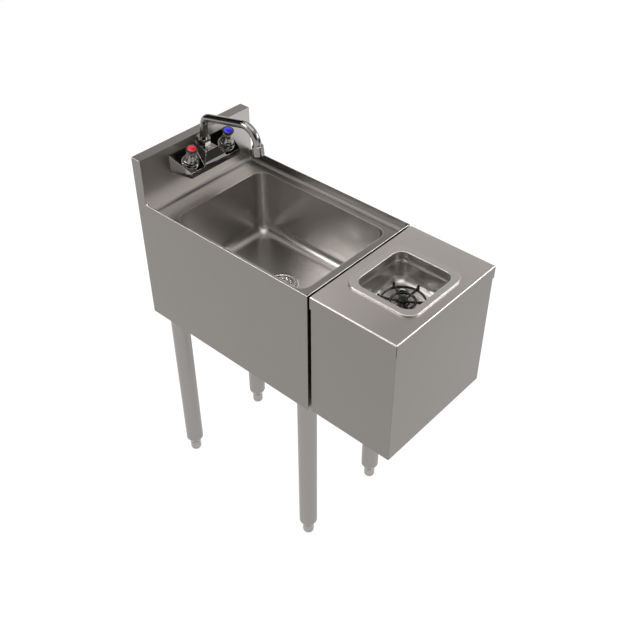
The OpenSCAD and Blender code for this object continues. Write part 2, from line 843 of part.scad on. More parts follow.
// Moves its children to a handle's axis, Z 0 at the middle of the handle's top
module at_handle(side) {
    translate([side * handle_centres / 2, handle_y, handle_z]) rotate([handle_tilt, 0, 0])
        children();
}

// Moves its children to the spout's axis, Z 0 on the middle block
module at_spout() {
    translate([0, spout_y, spout_z]) rotate([spout_tilt, 0, 0]) children();
}

// The cast body: a wedge with two round bosses and a raised block under the spout
module faucet_body() {
    socket_l = body_depth / 6;
    valve_y = handle_y + (handle_z - shank_z) * tan(handle_tilt);
    color(chrome_plate) difference() {
        union() {
            translate([0, body_y, body_z]) intersection() {
                side_prism(body_back_w + cut, [[0, 0], [-body_depth, 0],
                    [-body_depth, body_lip_h], [0, body_back_h]]);
                body_plan(body_back_w, body_front_w, body_depth, body_back_h);
            }
            translate([0, body_y, body_z]) intersection() {
                side_prism(block_low_w + cut, [[0, 0], [-body_depth, 0],
                    [-body_depth, body_lip_h], [block_lean - body_depth, block_front_h],
                    [0, block_back_h]]);
                rotate([90, 0, 0]) linear_extrude(body_depth)
                    polygon([[-block_low_w / 2, 0], [block_low_w / 2, 0],
                             [block_half_w(body_lip_h), body_lip_h],
                             [block_half_w(block_back_h), block_back_h],
                             [-block_half_w(block_back_h), block_back_h],
                             [-block_half_w(body_lip_h), body_lip_h]]);
            }
            for (side = [-1, 1]) at_handle(side) translate([0, 0, -boss_foot])
                cylinder(r = boss_dia / 2, h = boss_foot - boss_top);
            at_spout() translate([0, 0, -spout_foot])
                cylinder(r = spout_nut_af / 2, h = spout_foot + spout_seat);
        }
        for (side = [-1, 1]) {
            at_handle(side) translate([0, 0, -boss_top - cartridge_l])
                cylinder(r = cartridge_dia / 2, h = cartridge_l + cut);
            translate([side * handle_centres / 2, body_y - socket_l, shank_z])
                rotate([-90, 0, 0]) cylinder(r = shank_dia / 2, h = socket_l + cut);
            translate([side * handle_centres / 2, valve_y, shank_z])
                rotate([-90, 0, 0]) cylinder(r = waterway_dia / 2, h = body_y - valve_y);
        }
        at_spout() {
            translate([0, 0, -spout_socket_depth])
                cylinder(r = spout_r + play, h = spout_socket_depth + 2 * cut);
            translate([0, 0, spout_seat - spout_seal_t])
                cylinder(r = spout_collar_r + gap, h = spout_seal_t + cut);
        }
    }
}

module faucet_gasket() {
    inset = gasket_t;
    color(rubber) translate([0, splash_face_y, body_z]) difference() {
        rotate([90, 0, 0]) linear_extrude(gasket_t)
            polygon([[inset - body_back_w / 2, inset], [body_back_w / 2 - inset, inset],
                     [body_back_w / 2 - inset, body_back_h - inset],
                     [block_half_w(body_back_h), body_back_h - inset],
                     [block_half_w(block_back_h) - inset, block_back_h - inset],
                     [inset - block_half_w(block_back_h), block_back_h - inset],
                     [-block_half_w(body_back_h), body_back_h - inset],
                     [inset - body_back_w / 2, body_back_h - inset]]);
        for (side = [-1, 1])
            translate([side * handle_centres / 2, cut, shank_z - body_z])
                rotate([90, 0, 0]) cylinder(r = shank_dia / 2, h = gasket_t + 2 * cut);
    }
}

// Calls its children at both shanks, Z 0 at the splash face and +Z back to the wall
module at_shanks() {
    for (side = [-1, 1])
        translate([side * handle_centres / 2, splash_face_y, shank_z]) rotate([-90, 0, 0])
            children();
}

module faucet_shanks() {
    front_l = gasket_t + body_depth / 6;
    thread_l = sheet + shank_washer_t + shank_nut_h;
    color(brass) at_shanks() difference() {
        union() {
            translate([0, 0, -front_l]) cylinder(r = shank_dia / 2, h = front_l + thread_l);
            cylinder(r = shank_dia / 2 - end_relief, h = shank_l);
        }
        translate([0, 0, -front_l - cut])
            cylinder(r = waterway_dia / 2, h = front_l + shank_l + 2 * cut);
    }
}

module shank_washers() {
    color(steel) at_shanks() translate([0, 0, sheet])
        ring(shank_dia * 0.8, shank_dia / 2, shank_washer_t);
}

module shank_locknuts() {
    color(brass) at_shanks() translate([0, 0, sheet + shank_washer_t])
        hex_nut(shank_dia * 1.4, shank_dia / 2, shank_nut_h);
}

// Turns the spout's plane so that x runs forward along it and y up its riser
module spout_plane() {
    at_spout() rotate([90, 0, -90]) children();
}

// Moves its children to where arm and nozzle would meet, z pointing down the nozzle
module at_nozzle() {
    spout_plane() translate([0, spout_rise, 0]) rotate([0, 0, arm_slope])
        translate([spout_arm, 0, 0]) rotate([0, 0, nozzle_slope - arm_slope - 90])
            rotate([0, 90, 0]) children();
}

// The spout's route as a round bar, with its two ends made longer by an overrun. The bends
// are a hair thicker than the straight lengths, which lap into them
module spout_route(r, over) {
    riser_l = spout_foot + spout_rise - riser_cut;
    arm_l = spout_arm - riser_cut - nozzle_cut;
    at_spout() translate([0, 0, -spout_foot - over])
        cylinder(r = r, h = riser_l + over + bend_lap);
    spout_plane() {
        translate([riser_bend_r, spout_rise - riser_cut, 0]) rotate([0, 0, 90 + arm_slope])
            rotate_extrude(angle = 90 - arm_slope) translate([riser_bend_r, 0])
                circle(r + bend_swell);
        translate([0, spout_rise, 0]) rotate([0, 0, arm_slope]) {
            translate([riser_cut - bend_lap, 0, 0]) rotate([0, 90, 0])
                cylinder(r = r, h = arm_l + 2 * bend_lap);
            translate([spout_arm - nozzle_cut, -nozzle_bend_r, 0])
                rotate([0, 0, nozzle_slope - arm_slope])
                    rotate_extrude(angle = 90 + arm_slope - nozzle_slope)
                        translate([nozzle_bend_r, 0]) circle(r + bend_swell);
        }
    }
    at_nozzle() translate([0, 0, nozzle_cut - bend_lap])
        cylinder(r = r, h = nozzle_l + bend_lap + over);
}

// The bent tube with the collar that keeps it in its nut
module spout() {
    color(chrome_plate) difference() {
        union() {
            spout_route(spout_r, 0);
            at_spout() translate([0, 0, spout_seat + gap])
                cylinder(r = spout_collar_r, h = spout_collar_h);
        }
        spout_route(spout_r - spout_wall, cut);
    }
}

module spout_nut() {
    cavity_h = spout_collar_h + 2 * gap;
    color(chrome_plate) at_spout() translate([0, 0, spout_seat]) difference() {
        hex_nut(spout_nut_af, spout_r + play, spout_nut_h);
        translate([0, 0, -cut]) cylinder(r = spout_collar_r + gap, h = cavity_h + cut);
    }
}

module spout_seal() {
    color(rubber) at_spout() translate([0, 0, spout_seat - spout_seal_t])
        ring(spout_collar_r + gap, spout_r + play, spout_seal_t);
}

// The grooved shell screwed on the nozzle
module aerator() {
    aerator_r = aerator_dia / 2;
    edge = aerator_groove_dia;
    color(chrome_plate) at_nozzle()
        translate([0, 0, nozzle_cut + nozzle_l - aerator_seat]) difference() {
            union() {
                cylinder(r1 = aerator_r - edge, r2 = aerator_r, h = edge);
                translate([0, 0, edge]) cylinder(r = aerator_r, h = aerator_l - edge);
            }
            translate([0, 0, -cut]) cylinder(r = spout_r, h = aerator_seat + cut);
            translate([0, 0, aerator_seat])
                cylinder(r = aerator_r - aerator_wall, h = aerator_l);
            for (groove = [0:aerator_groove_count - 1])
                rotate([0, 0, groove * 360 / aerator_groove_count])
                    translate([aerator_r + aerator_groove_dia / 4, 0, 2 * edge])
                        cylinder(r = aerator_groove_dia / 2, h = aerator_l - 4 * edge);
        }
}

module aerator_screen() {
    screen_r = aerator_dia / 2 - aerator_wall;
    color(steel) at_nozzle()
        translate([0, 0, nozzle_cut + nozzle_l - aerator_seat + aerator_l - 3 * screen_t])
            difference() {
                cylinder(r = screen_r, h = screen_t);
                for (row = screen_ring_shares)
                    for (hole = [0:row[0] - 1])
                        rotate([0, 0, hole * 360 / row[0]])
                            translate([screen_r * row[1], 0, -cut])
                                cylinder(r = screen_hole_dia / 2, h = screen_t + 2 * cut);
            }
}

// The valve's brass cartridge in the body's boss, its bonnet up in the handle
module cartridge(side) {
    color(brass) at_handle(side) translate([0, 0, -boss_top]) difference() {
        union() {
            translate([0, 0, -cartridge_l]) cylinder(r = cartridge_dia / 2, h = cartridge_l);
            cylinder(r = bonnet_dia / 2, h = bonnet_t);
            cylinder(r = bonnet_neck_dia / 2, h = bonnet_rise);
        }
        translate([0, 0, boss_top - valve_stem_foot - gap])
            cylinder(r = valve_stem_dia / 2 + play, h = valve_stem_foot);
    }
}

module hot_cartridge() { cartridge(-1); }
module cold_cartridge() { cartridge(1); }

module valve_stem(side) {
    color(brass) at_handle(side) translate([0, 0, -valve_stem_foot])
        cylinder(r = valve_stem_dia / 2, h = valve_stem_foot - valve_stem_top);
}

module hot_stem() { valve_stem(-1); }
module cold_stem() { valve_stem(1); }

// Radius of a handle at a share of its height below its top
function handle_r(t) = t < waist_share
    ? handle_waist_dia / 2
        + (handle_top_dia - handle_waist_dia) / 2 * pow(1 - t / waist_share, 2)
    : handle_waist_dia / 2
        + (handle_skirt_dia - handle_waist_dia) / 2
            * pow(sin(90 * (t - waist_share) / (1 - waist_share)), 2);

// The fluted bell that the hand turns
module handle(side) {
    steps = 10;
    flute_r = flute_dia / 2;
    flute_top = [handle_waist_dia / 2 + flute_r - flute_depth, waist_share * handle_h];
    flute_end = [handle_skirt_dia / 2 + flute_r - flute_depth, handle_h];
    flute_run = flute_end - flute_top;
    color(chrome_plate) at_handle(side) translate([0, 0, -index_ring_t]) difference() {
        rotate_extrude()
            polygon(concat([[0, -handle_h], [0, 0]],
                [for (i = [0:steps]) [handle_r(i / steps), -handle_h * i / steps]]));
        translate([0, 0, -handle_h - cut])
            cylinder(r = valve_stem_dia / 2, h = handle_bottom + cut - valve_stem_top);
        translate([0, 0, -handle_h - cut])
            cylinder(r = bonnet_dia / 2 + 2 * gap, h = handle_recess_h + cut);
        for (flute = [0:flute_count - 1]) rotate([0, 0, flute * 360 / flute_count]) {
            translate([flute_top[0], 0, -flute_top[1]]) {
                sphere(flute_r);
                rotate([0, 180 - atan2(flute_run[0], flute_run[1]), 0])
                    cylinder(r = flute_r, h = handle_h);
            }
        }
    }
}

module hot_handle() { handle(-1); }
module cold_handle() { handle(1); }

// The black cup that holds the index button
module index_ring(side) {
    color(black_plastic) at_handle(side) translate([0, 0, -index_ring_t]) difference() {
        cylinder(r = index_ring_dia / 2, h = index_ring_t);
        translate([0, 0, index_floor]) cylinder(r = index_dia / 2, h = index_ring_t);
    }
}

module hot_index_ring() { index_ring(-1); }
module cold_index_ring() { index_ring(1); }

module index_button(side) {
    at_handle(side) translate([0, 0, index_floor - index_ring_t])
        cylinder(r = index_dia / 2, h = index_ring_t - index_floor);
}

module hot_index_button() { color("#c22a2c") index_button(-1); }
module cold_index_button() { color("#2230b8") index_button(1); }

// A block under Z 0 whose top edges are rounded, with sharp upright edges
module folded_block(w, d, h, r) {
    intersection() {
        rotate([90, 0, 0]) linear_extrude(d, center = true) folded_section(w, h, r);
        rotate([90, 0, 90]) linear_extrude(w, center = true) folded_section(d, h, r);
    }
}

module folded_section(w, h, r) {
    translate([-w / 2, -h]) square([w, h - r]);
    translate([r - w / 2, -h]) square([w - 2 * r, h]);
    for (side = [-1, 1]) translate([side * (w / 2 - r), -r]) circle(r);
}

// The folded cover with its skirt, its open corners and the pan's opening
module box_cover() {
    color(steel) translate([0, box_y, rim_h]) difference() {
        folded_block(2 * box_x, box_d, cover_skirt, cover_bend_r);
        translate([0, 0, -sheet])
            folded_block(2 * (box_x - sheet), box_d - 2 * sheet, cover_skirt,
                         cover_bend_r - sheet);
        translate([0, 0, -sheet - cut]) linear_extrude(sheet + 2 * cut)
            round_rect(pan_w + 2 * (pan_sheet + gap), pan_d + 2 * (pan_sheet + gap),
                       pan_corner_r + pan_sheet + gap);
        for (sx = [-1, 1], sy = [-1, 1])
            translate([sx * box_x, sy * box_d / 2, -cover_skirt - cut])
                rotate([0, 0, sx * sy * 45]) translate([0, 0, (cover_skirt + 2 * cut) / 2])
                    cube([2 * cover_bend_r, corner_slit, cover_skirt + 2 * cut], center = true);
    }
}

// The box's walls, folded in along their top and bottom, open at the back between flanges
module box_shell() {
    shell_h = rim_h - sheet - box_bottom;
    inside_h = shell_h - 2 * sheet;
    color(steel) translate([0, box_y, box_bottom]) difference() {
        intersection() {
            linear_extrude(shell_h) round_rect(2 * shell_x, shell_d, shell_bend_r);
            translate([0, 0, shell_h]) folded_block(2 * shell_x, shell_d, shell_h, shell_bend_r);
        }
        intersection() {
            translate([0, 0, sheet]) linear_extrude(inside_h)
                round_rect(2 * (shell_x - sheet), shell_d - 2 * sheet, shell_bend_r - sheet);
            translate([0, 0, shell_h - sheet])
                folded_block(2 * (shell_x - sheet), shell_d - 2 * sheet, inside_h,
                             shell_bend_r - sheet);
        }
        translate([0, 0, shell_h / 2])
            cube([2 * (shell_x - panel_return), shell_d - 2 * panel_return, shell_h + 2 * cut],
                 center = true);
        translate([shell_flange - shell_x, 0, -cut])
            cube([2 * (shell_x - shell_flange), shell_d, shell_h + 2 * cut]);
    }
}

module box_back() {
    half_w = shell_x - shell_bend_r;
    foot_z = box_bottom + sheet;
    color(steel) difference() {
        translate([-half_w, back_plate_y - sheet, foot_z])
            cube([2 * half_w, sheet, rim_h - 2 * sheet - foot_z]);
        for (place = box_bolt_places)
            translate([place[0], back_plate_y - sheet - cut, place[1]]) rotate([-90, 0, 0])
                cylinder(r = bolt_dia / 2 + gap, h = sheet + 2 * cut);
    }
}

// Bolts from inside the box through to the cabinet, each with its nut
module box_bolts() {
    grip = front_y + sheet - back_plate_y + sheet;
    color(steel) for (place = box_bolt_places)
        translate([place[0], back_plate_y - sheet, place[1]]) rotate([-90, 0, 0]) {
            cylinder(r = bolt_dia / 2, h = grip + 2 * bolt_head_h);
            mirror([0, 0, 1]) cylinder(r = bolt_head_af / 2 / cos(30), h = bolt_head_h, $fn = 6);
            translate([0, 0, grip])
                cylinder(r = bolt_head_af / 2 / cos(30), h = bolt_head_h, $fn = 6);
        }
}

module box_spacers() {
    color(steel) for (place = box_bolt_places)
        translate([place[0], back_plate_y, place[1]]) rotate([-90, 0, 0])
            ring(spacer_dia / 2, bolt_dia / 2 + gap, front_y - back_plate_y);
}

// Moves its children to the middle of the rinser station
module at_rinser() {
    translate([0, box_y, 0]) children();
}

// The drop-in pan: turned-down flange, upper wall, stacking shoulder and basin
module rinser_pan() {
    wall_w = pan_w + 2 * pan_sheet;
    wall_d = pan_d + 2 * pan_sheet;
    wall_r = pan_corner_r + pan_sheet;
    basin_w = pan_w - 2 * pan_step;
    basin_d = pan_d - 2 * pan_step;
    basin_r = pan_corner_r - pan_step;
    basin_h = pan_depth - pan_shoulder;
    color(steel) at_rinser() difference() {
        union() {
            translate([0, 0, pan_top]) {
                around(pan_flange_w, pan_flange_d, pan_flange_r)
                    turned_section(pan_edge_r, pan_sheet, pan_lip);
                around(pan_w, pan_d, pan_corner_r) rolled_section(pan_edge_r, pan_sheet);
            }
            translate([0, 0, pan_top - pan_sheet]) linear_extrude(pan_sheet) difference() {
                round_rect(pan_flange_w - 2 * pan_edge_r, pan_flange_d - 2 * pan_edge_r,
                           pan_flange_r - pan_edge_r);
                round_rect(pan_w + 2 * pan_edge_r, pan_d + 2 * pan_edge_r,
                           pan_corner_r + pan_edge_r);
            }
            translate([0, 0, pan_top - pan_shoulder])
                linear_extrude(pan_shoulder - pan_edge_r) difference() {
                    round_rect(wall_w, wall_d, wall_r);
                    round_rect(pan_w, pan_d, pan_corner_r);
                }
            translate([0, 0, pan_top - pan_shoulder - pan_sheet])
                linear_extrude(pan_sheet) difference() {
                    round_rect(wall_w, wall_d, wall_r);
                    round_rect(basin_w, basin_d, basin_r);
                }
            translate([0, 0, pan_under_z]) difference() {
                tub(basin_w + 2 * pan_sheet, basin_d + 2 * pan_sheet, basin_h,
                    basin_r + pan_sheet, pan_floor_r + pan_sheet);
                translate([0, 0, pan_sheet])
                    tub(basin_w, basin_d, basin_h, basin_r, pan_floor_r);
            }
        }
        translate([0, 0, pan_under_z - cut])
            cylinder(r = valve_shank_dia / 2 + gap, h = pan_sheet + 2 * cut);
        translate([pan_drain_x, pan_drain_y, pan_under_z - cut])
            cylinder(r = pan_drain_dia / 2 + gap, h = pan_sheet + 2 * cut);
    }
}

module pan_drain_body() {
    flange_r = pan_drain_flange_dia / 2;
    bore_r = pan_drain_bore / 2;
    thread_l = pan_sheet + pan_nut_h;
    color(chrome_plate) at_rinser() translate([pan_drain_x, pan_drain_y, pan_floor_z])
        difference() {
            union() {
                cylinder(r1 = flange_r, r2 = flange_r - pan_drain_flange_t,
                         h = pan_drain_flange_t);
                translate([0, 0, -thread_l])
                    cylinder(r = pan_drain_dia / 2, h = thread_l);
                translate([0, 0, -pan_drain_l])
                    cylinder(r = pan_drain_dia / 2 - end_relief, h = pan_drain_l);
            }
            translate([0, 0, -pan_drain_l - cut])
                cylinder(r = bore_r, h = pan_drain_l + 2 * cut);
            cylinder(r1 = bore_r, r2 = flange_r - 2 * pan_drain_flange_t,
                     h = pan_drain_flange_t + cut / 100);
        }
}

module pan_drain_nut() {
    color(brass) at_rinser() translate([pan_drain_x, pan_drain_y, pan_under_z])
        mirror([0, 0, 1]) hex_nut(pan_nut_af, pan_drain_dia / 2, pan_nut_h);
}

// The valve's flange on the pan and its threaded shank, bored for the stem
module rinser_valve_body() {
    color(chrome_plate) at_rinser() difference() {
        union() {
            translate([0, 0, valve_seat_z])
                cylinder(r1 = valve_flange_dia / 2, r2 = valve_flange_dia / 2 - valve_flange_t / 2,
                         h = valve_flange_t);
            translate([0, 0, valve_foot_z])
                cylinder(r = valve_shank_dia / 2, h = valve_seat_z - valve_foot_z);
        }
        translate([0, 0, valve_foot_z - cut])
            cylinder(r = stem_dia / 2 + play, h = valve_shank_l + star_rise);
    }
}

module rinser_gasket() {
    color(rubber) at_rinser() translate([0, 0, pan_floor_z])
        ring(valve_flange_dia / 2, valve_shank_dia / 2, valve_gasket_t);
}

module rinser_locknut() {
    color(brass) at_rinser() translate([0, 0, pan_under_z])
        mirror([0, 0, 1]) hex_nut(valve_nut_af, valve_shank_dia / 2, valve_nut_h);
}

// The cup screwed on the shank: spring chamber and inlet in one
module rinser_inlet() {
    chamber_r = chamber_dia / 2;
    thread_z = valve_foot_z + chamber_thread_l;
    color(brass) at_rinser() difference() {
        union() {
            translate([0, 0, chamber_z]) cylinder(r = chamber_r, h = thread_z - chamber_z);
            translate([0, 0, chamber_z - inlet_l]) cylinder(r = inlet_dia / 2, h = inlet_l);
        }
        translate([0, 0, spring_z])
            cylinder(r = chamber_r - 2 * chamber_wall, h = chamber_h);
        translate([0, 0, valve_foot_z])
            cylinder(r = valve_shank_dia / 2, h = chamber_thread_l + cut);
        translate([0, 0, chamber_z - inlet_l - cut])
            cylinder(r = inlet_dia / 4, h = inlet_l + chamber_wall + 2 * cut);
    }
}

// Points of the return spring: a round wire wound on a coil as wide as the valve's disc
spring_coil_r = disc_dia / 2 - wire_dia / 2;
spring_h = disc_z - spring_z;
spring_pitch = (spring_h - wire_dia) / spring_turns;
spring_rings = spring_turns * spring_steps;
function spring_centre(i) = let(a = 360 * i / spring_steps)
    [spring_coil_r * cos(a), spring_coil_r * sin(a),
     wire_dia / 2 + spring_pitch * i / spring_steps];
function spring_ring(i) = let(
        a = 360 * i / spring_steps,
        rise = atan2(spring_pitch, 2 * PI * spring_coil_r),
        out = [cos(a), sin(a), 0],
        up = [sin(a) * sin(rise), -cos(a) * sin(rise), cos(rise)])
    [for (k = [0:spring_sides - 1])
        spring_centre(i) + wire_dia / 2
            * (cos(360 * k / spring_sides) * out + sin(360 * k / spring_sides) * up)];
spring_points = [for (i = [0:spring_rings]) each spring_ring(i)];
spring_faces = concat(
    [[for (k = [0:spring_sides - 1]) k]],
    [for (i = [0:spring_rings - 1], k = [0:spring_sides - 1])
        let(a = i * spring_sides + k, b = i * spring_sides + (k + 1) % spring_sides)
            [a, a + spring_sides, b]],
    [for (i = [0:spring_rings - 1], k = [0:spring_sides - 1])
        let(a = i * spring_sides + k, b = i * spring_sides + (k + 1) % spring_sides)
            [b, a + spring_sides, b + spring_sides]],
    [[for (k = [spring_sides - 1:-1:0]) spring_rings * spring_sides + k]]);
// Least distance between points of the wire a turn or more apart
spring_gap = min([for (i = [0:spring_rings - spring_steps], k = [0:spring_sides - 1],
                       n = [0:spring_sides - 1])
    norm(spring_points[i * spring_sides + k]
         - spring_points[(i + spring_steps) * spring_sides + n])]);
echo(spring_gap = spring_gap);

module rinser_spring() {
    color(steel) at_rinser() translate([0, 0, spring_z])
        polyhedron(spring_points, spring_faces, convexity = 10);
}

// The hollow stem: pressed down, its disc leaves the shank's lower end
module rinser_stem() {
    top_z = star_z + hub_h + nozzle_rise - nozzle_t;
    color(steel) at_rinser() difference() {
        union() {
            translate([0, 0, disc_z]) cylinder(r = disc_dia / 2, h = disc_t);
            translate([0, 0, disc_z]) cylinder(r = stem_dia / 2, h = top_z - disc_z);
        }
        translate([0, 0, disc_z + disc_t + gap])
            cylinder(r = stem_bore / 2, h = top_z - disc_z);
    }
}

// The black star: hub, two rings and arms whose tips rise to nubs
module rinser_star() {
    top_z = hub_h + nozzle_rise - nozzle_t;
    color(black_plastic) at_rinser() translate([0, 0, star_z]) difference() {
        union() {
            cylinder(r = hub_dia / 2, h = hub_h);
            for (r = [star_inner_r, star_outer_r])
                ring(r + star_ring_w / 2, r - star_ring_w / 2, star_ring_h);
            for (arm = [0:arm_count - 1]) rotate([0, 0, arm * 360 / arm_count]) {
                rotate([90, 0, 0]) linear_extrude(arm_w, center = true)
                    polygon([[0, 0], [arm_r, 0], [arm_r, star_ring_h + arm_lift],
                             [star_inner_r, star_ring_h], [0, star_ring_h]]);
                translate([arm_r, 0, 0]) cylinder(r = nub_dia / 2, h = star_ring_h + arm_lift);
                translate([arm_r, 0, star_ring_h + arm_lift]) sphere(nub_dia / 2);
            }
        }
        translate([0, 0, -cut]) cylinder(r = stem_dia / 2, h = top_z + cut);
        translate([0, 0, top_z]) cylinder(r = nozzle_dia / 2, h = nozzle_t);
    }
}

// The spray nozzle in the hub, standing a little proud of it
module rinser_nozzle() {
    color(black_plastic) at_rinser()
        translate([0, 0, star_z + hub_h + nozzle_rise - nozzle_t]) difference() {
            cylinder(r = nozzle_dia / 2, h = nozzle_t);
            translate([0, 0, -cut]) cylinder(r = nozzle_bore / 4, h = nozzle_t);
            translate([0, 0, nozzle_t / 3])
                cylinder(r1 = nozzle_bore / 4, r2 = nozzle_bore / 2, h = nozzle_t);
        }
}

deck_splash();
sink_bowl();
left_panel();
right_panel();
front_panel();
front_leg_rail();
rear_leg_rail();
leg_sockets();
socket_screws();
leg_front_left();
leg_front_right();
leg_rear_left();
leg_rear_right();
foot_collars();
foot_front_left();
foot_front_right();
foot_rear_left();
foot_rear_right();
drain_body();
drain_gasket();
drain_locknut();
drain_tailpiece();
tailpiece_nut();
drain_basket();
faucet_body();
faucet_gasket();
faucet_shanks();
shank_washers();
shank_locknuts();
spout();
spout_nut();
spout_seal();
aerator();
aerator_screen();
hot_cartridge();
cold_cartridge();
hot_stem();
cold_stem();
hot_handle();
cold_handle();
hot_index_ring();
cold_index_ring();
hot_index_button();
cold_index_button();
box_cover();
box_shell();
box_back();
box_bolts();
box_spacers();
rinser_pan();
pan_drain_body();
pan_drain_nut();
rinser_valve_body();
rinser_gasket();
rinser_locknut();
rinser_spring();
rinser_stem();
rinser_star();
rinser_nozzle();
rinser_inlet();
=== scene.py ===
import json
import math

import bmesh
import bpy
from mathutils import Matrix, Vector

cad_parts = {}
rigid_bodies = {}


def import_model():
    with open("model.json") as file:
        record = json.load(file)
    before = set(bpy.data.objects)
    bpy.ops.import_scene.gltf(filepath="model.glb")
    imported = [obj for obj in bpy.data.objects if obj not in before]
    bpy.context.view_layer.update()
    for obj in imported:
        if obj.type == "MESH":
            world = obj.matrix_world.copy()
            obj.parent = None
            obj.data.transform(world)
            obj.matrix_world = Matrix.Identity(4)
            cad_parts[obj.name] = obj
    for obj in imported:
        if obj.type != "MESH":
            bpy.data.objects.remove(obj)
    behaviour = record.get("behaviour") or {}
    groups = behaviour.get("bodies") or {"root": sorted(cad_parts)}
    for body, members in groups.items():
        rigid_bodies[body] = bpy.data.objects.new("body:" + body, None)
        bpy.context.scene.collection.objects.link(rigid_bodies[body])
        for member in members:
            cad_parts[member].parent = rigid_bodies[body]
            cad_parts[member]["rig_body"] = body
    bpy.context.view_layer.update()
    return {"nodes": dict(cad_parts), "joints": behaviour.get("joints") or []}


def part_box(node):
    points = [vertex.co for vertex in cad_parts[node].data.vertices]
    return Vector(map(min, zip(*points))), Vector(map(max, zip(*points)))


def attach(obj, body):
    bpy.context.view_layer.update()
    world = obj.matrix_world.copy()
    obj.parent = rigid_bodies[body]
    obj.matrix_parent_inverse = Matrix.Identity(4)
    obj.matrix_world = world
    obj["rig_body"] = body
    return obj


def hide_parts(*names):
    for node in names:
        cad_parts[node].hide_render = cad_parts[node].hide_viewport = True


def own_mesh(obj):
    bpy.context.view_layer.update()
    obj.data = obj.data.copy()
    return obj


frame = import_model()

# An underbar glass rinser: a stainless bar sink on four legs, with a two-handle faucet on
# its splash and a press-star rinser in a box bolted to its front. The pieces' sizes are in
# millimetres, and MM turns them to Blender's metres. The studio's sizes are in metres.
MM = 0.001

# How far a vertex may lie from the place that a test looks for it at
NEAR = 0.02 * MM

# Where a turned profile meets its axis: a circle too small to see, which a face fills
POLE = 0.05

# The index rings' thickness, by which the handles' bells sit lower
RING_T = 3.4

# The record's joints, by name
JOINTS = {joint["name"]: joint for joint in frame["joints"]}

# The cabinet's outer faces and its rim
LEFT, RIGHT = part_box("left_panel")[0].x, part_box("right_panel")[1].x
FRONT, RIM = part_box("front_panel")[0].y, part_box("front_panel")[1].z


# The camera stands where the photograph was taken from. Its turn round the object, its tilt
# down, its roll and its lens come from the photograph's straight edges.
def set_camera():
    azimuth, elevation, roll = math.radians(-48.490), math.radians(40.632), 0.00173865
    stand = (-1.074664, -0.980855, 1.780942)
    back = Vector((math.sin(azimuth) * math.cos(elevation),
                   -math.cos(azimuth) * math.cos(elevation), math.sin(elevation)))
    right = (-back).cross(Vector((0, 0, 1))).normalized()
    up = right.cross(-back)
    side = math.cos(roll) * right + math.sin(roll) * up
    top = math.cos(roll) * up - math.sin(roll) * right
    data = bpy.data.cameras.new("photo_camera")
    data.lens, data.sensor_width = 50.622, 36
    data.clip_start = 0.05
    camera = bpy.data.objects.new("photo_camera", data)
    bpy.context.scene.collection.objects.link(camera)
    camera.matrix_world = (Matrix.Translation(stand)
                           @ Matrix((side, top, back)).transposed().to_4x4())
    bpy.context.scene.camera = camera


# Turns an sRGB hex colour to the linear one that the shaders take. A share below 1 darkens
# it, and one above 1 makes it paler.
def colour(code, share=1):
    shades = [int(code[i:i + 2], 16) / 255 for i in (1, 3, 5)]
    linear = [s / 12.92 if s <= 0.04045 else ((s + 0.055) / 1.055) ** 2.4 for s in shades]
    return [value * share for value in linear] + [1]


# Adds a node: its settings by name, its inputs by name or number, each a value or a socket
def add(tree, kind, inputs, **settings):
    made = tree.nodes.new("ShaderNode" + kind)
    for name, value in settings.items():
        setattr(made, name, value)
    for name, value in inputs.items():
        if isinstance(value, bpy.types.NodeSocket):
            tree.links.new(value, made.inputs[name])
        else:
            made.inputs[name].default_value = value
    return made


# A new material with nothing in it yet, and its nodes
def new_material(name):
    material = bpy.data.materials.new(name)
    material.use_nodes = True
    material.node_tree.nodes.clear()
    return material, material.node_tree


# 1 where the camera, a mirror reflection or glass looks at a thing, 0 for soft light
def looked_at(tree):
    path = add(tree, "LightPath", {})
    glossy = add(tree, "Math", {0: path.outputs["Is Camera Ray"],
                                1: path.outputs["Is Glossy Ray"]}, operation="MAXIMUM")
    return add(tree, "Math", {0: glossy.outputs[0], 1: path.outputs["Is Transmission Ray"]},
               operation="MAXIMUM").outputs[0]


def deselect():
    if bpy.context.object and bpy.context.object.mode != "OBJECT":
        bpy.ops.object.mode_set(mode="OBJECT")
    bpy.ops.object.select_all(action="DESELECT")


# World: white wherever something looks at it, a moderate soft light otherwise
def set_world():
    soft_light, white = 0.4, 1.0
    world = bpy.data.worlds.new("studio")
    bpy.context.scene.world = world
    world.use_nodes = True
    tree = world.node_tree
    tree.nodes.clear()
    strength = add(tree, "MapRange", {"Value": looked_at(tree), "To Min": soft_light,
                                      "To Max": white})
    sky = add(tree, "Background", {"Color": (1, 1, 1, 1), "Strength": strength.outputs[0]})
    add(tree, "OutputWorld", {"Surface": sky.outputs[0]})


# Floor: a glow makes it pale where something looks at it, and the paper's own grey, which
# adds to the glow, keeps the object's shadow
def set_floor():
    glow_share, grey = 0.9, 0.2
    deselect()
    bpy.ops.mesh.primitive_plane_add(size=24)
    floor = bpy.context.object
    floor.name = "studio_floor"
    material, tree = new_material("pale_paper_floor")
    strength = add(tree, "Math", {0: looked_at(tree), 1: glow_share}, operation="MULTIPLY")
    glow = add(tree, "Emission", {"Color": (1, 1, 1, 1), "Strength": strength.outputs[0]})
    paper = add(tree, "BsdfDiffuse", {"Color": (grey, grey, grey, 1)})
    both = add(tree, "AddShader", {0: glow.outputs[0], 1: paper.outputs[0]})
    add(tree, "OutputMaterial", {"Surface": both.outputs[0]})
    floor.data.materials.append(material)


# Puts a light or a cloth in its place and turns its face to a target
def aim(thing, place, target):
    thing.location = place
    thing.rotation_euler = (Vector(target) - Vector(place)).to_track_quat("-Z", "Y").to_euler()


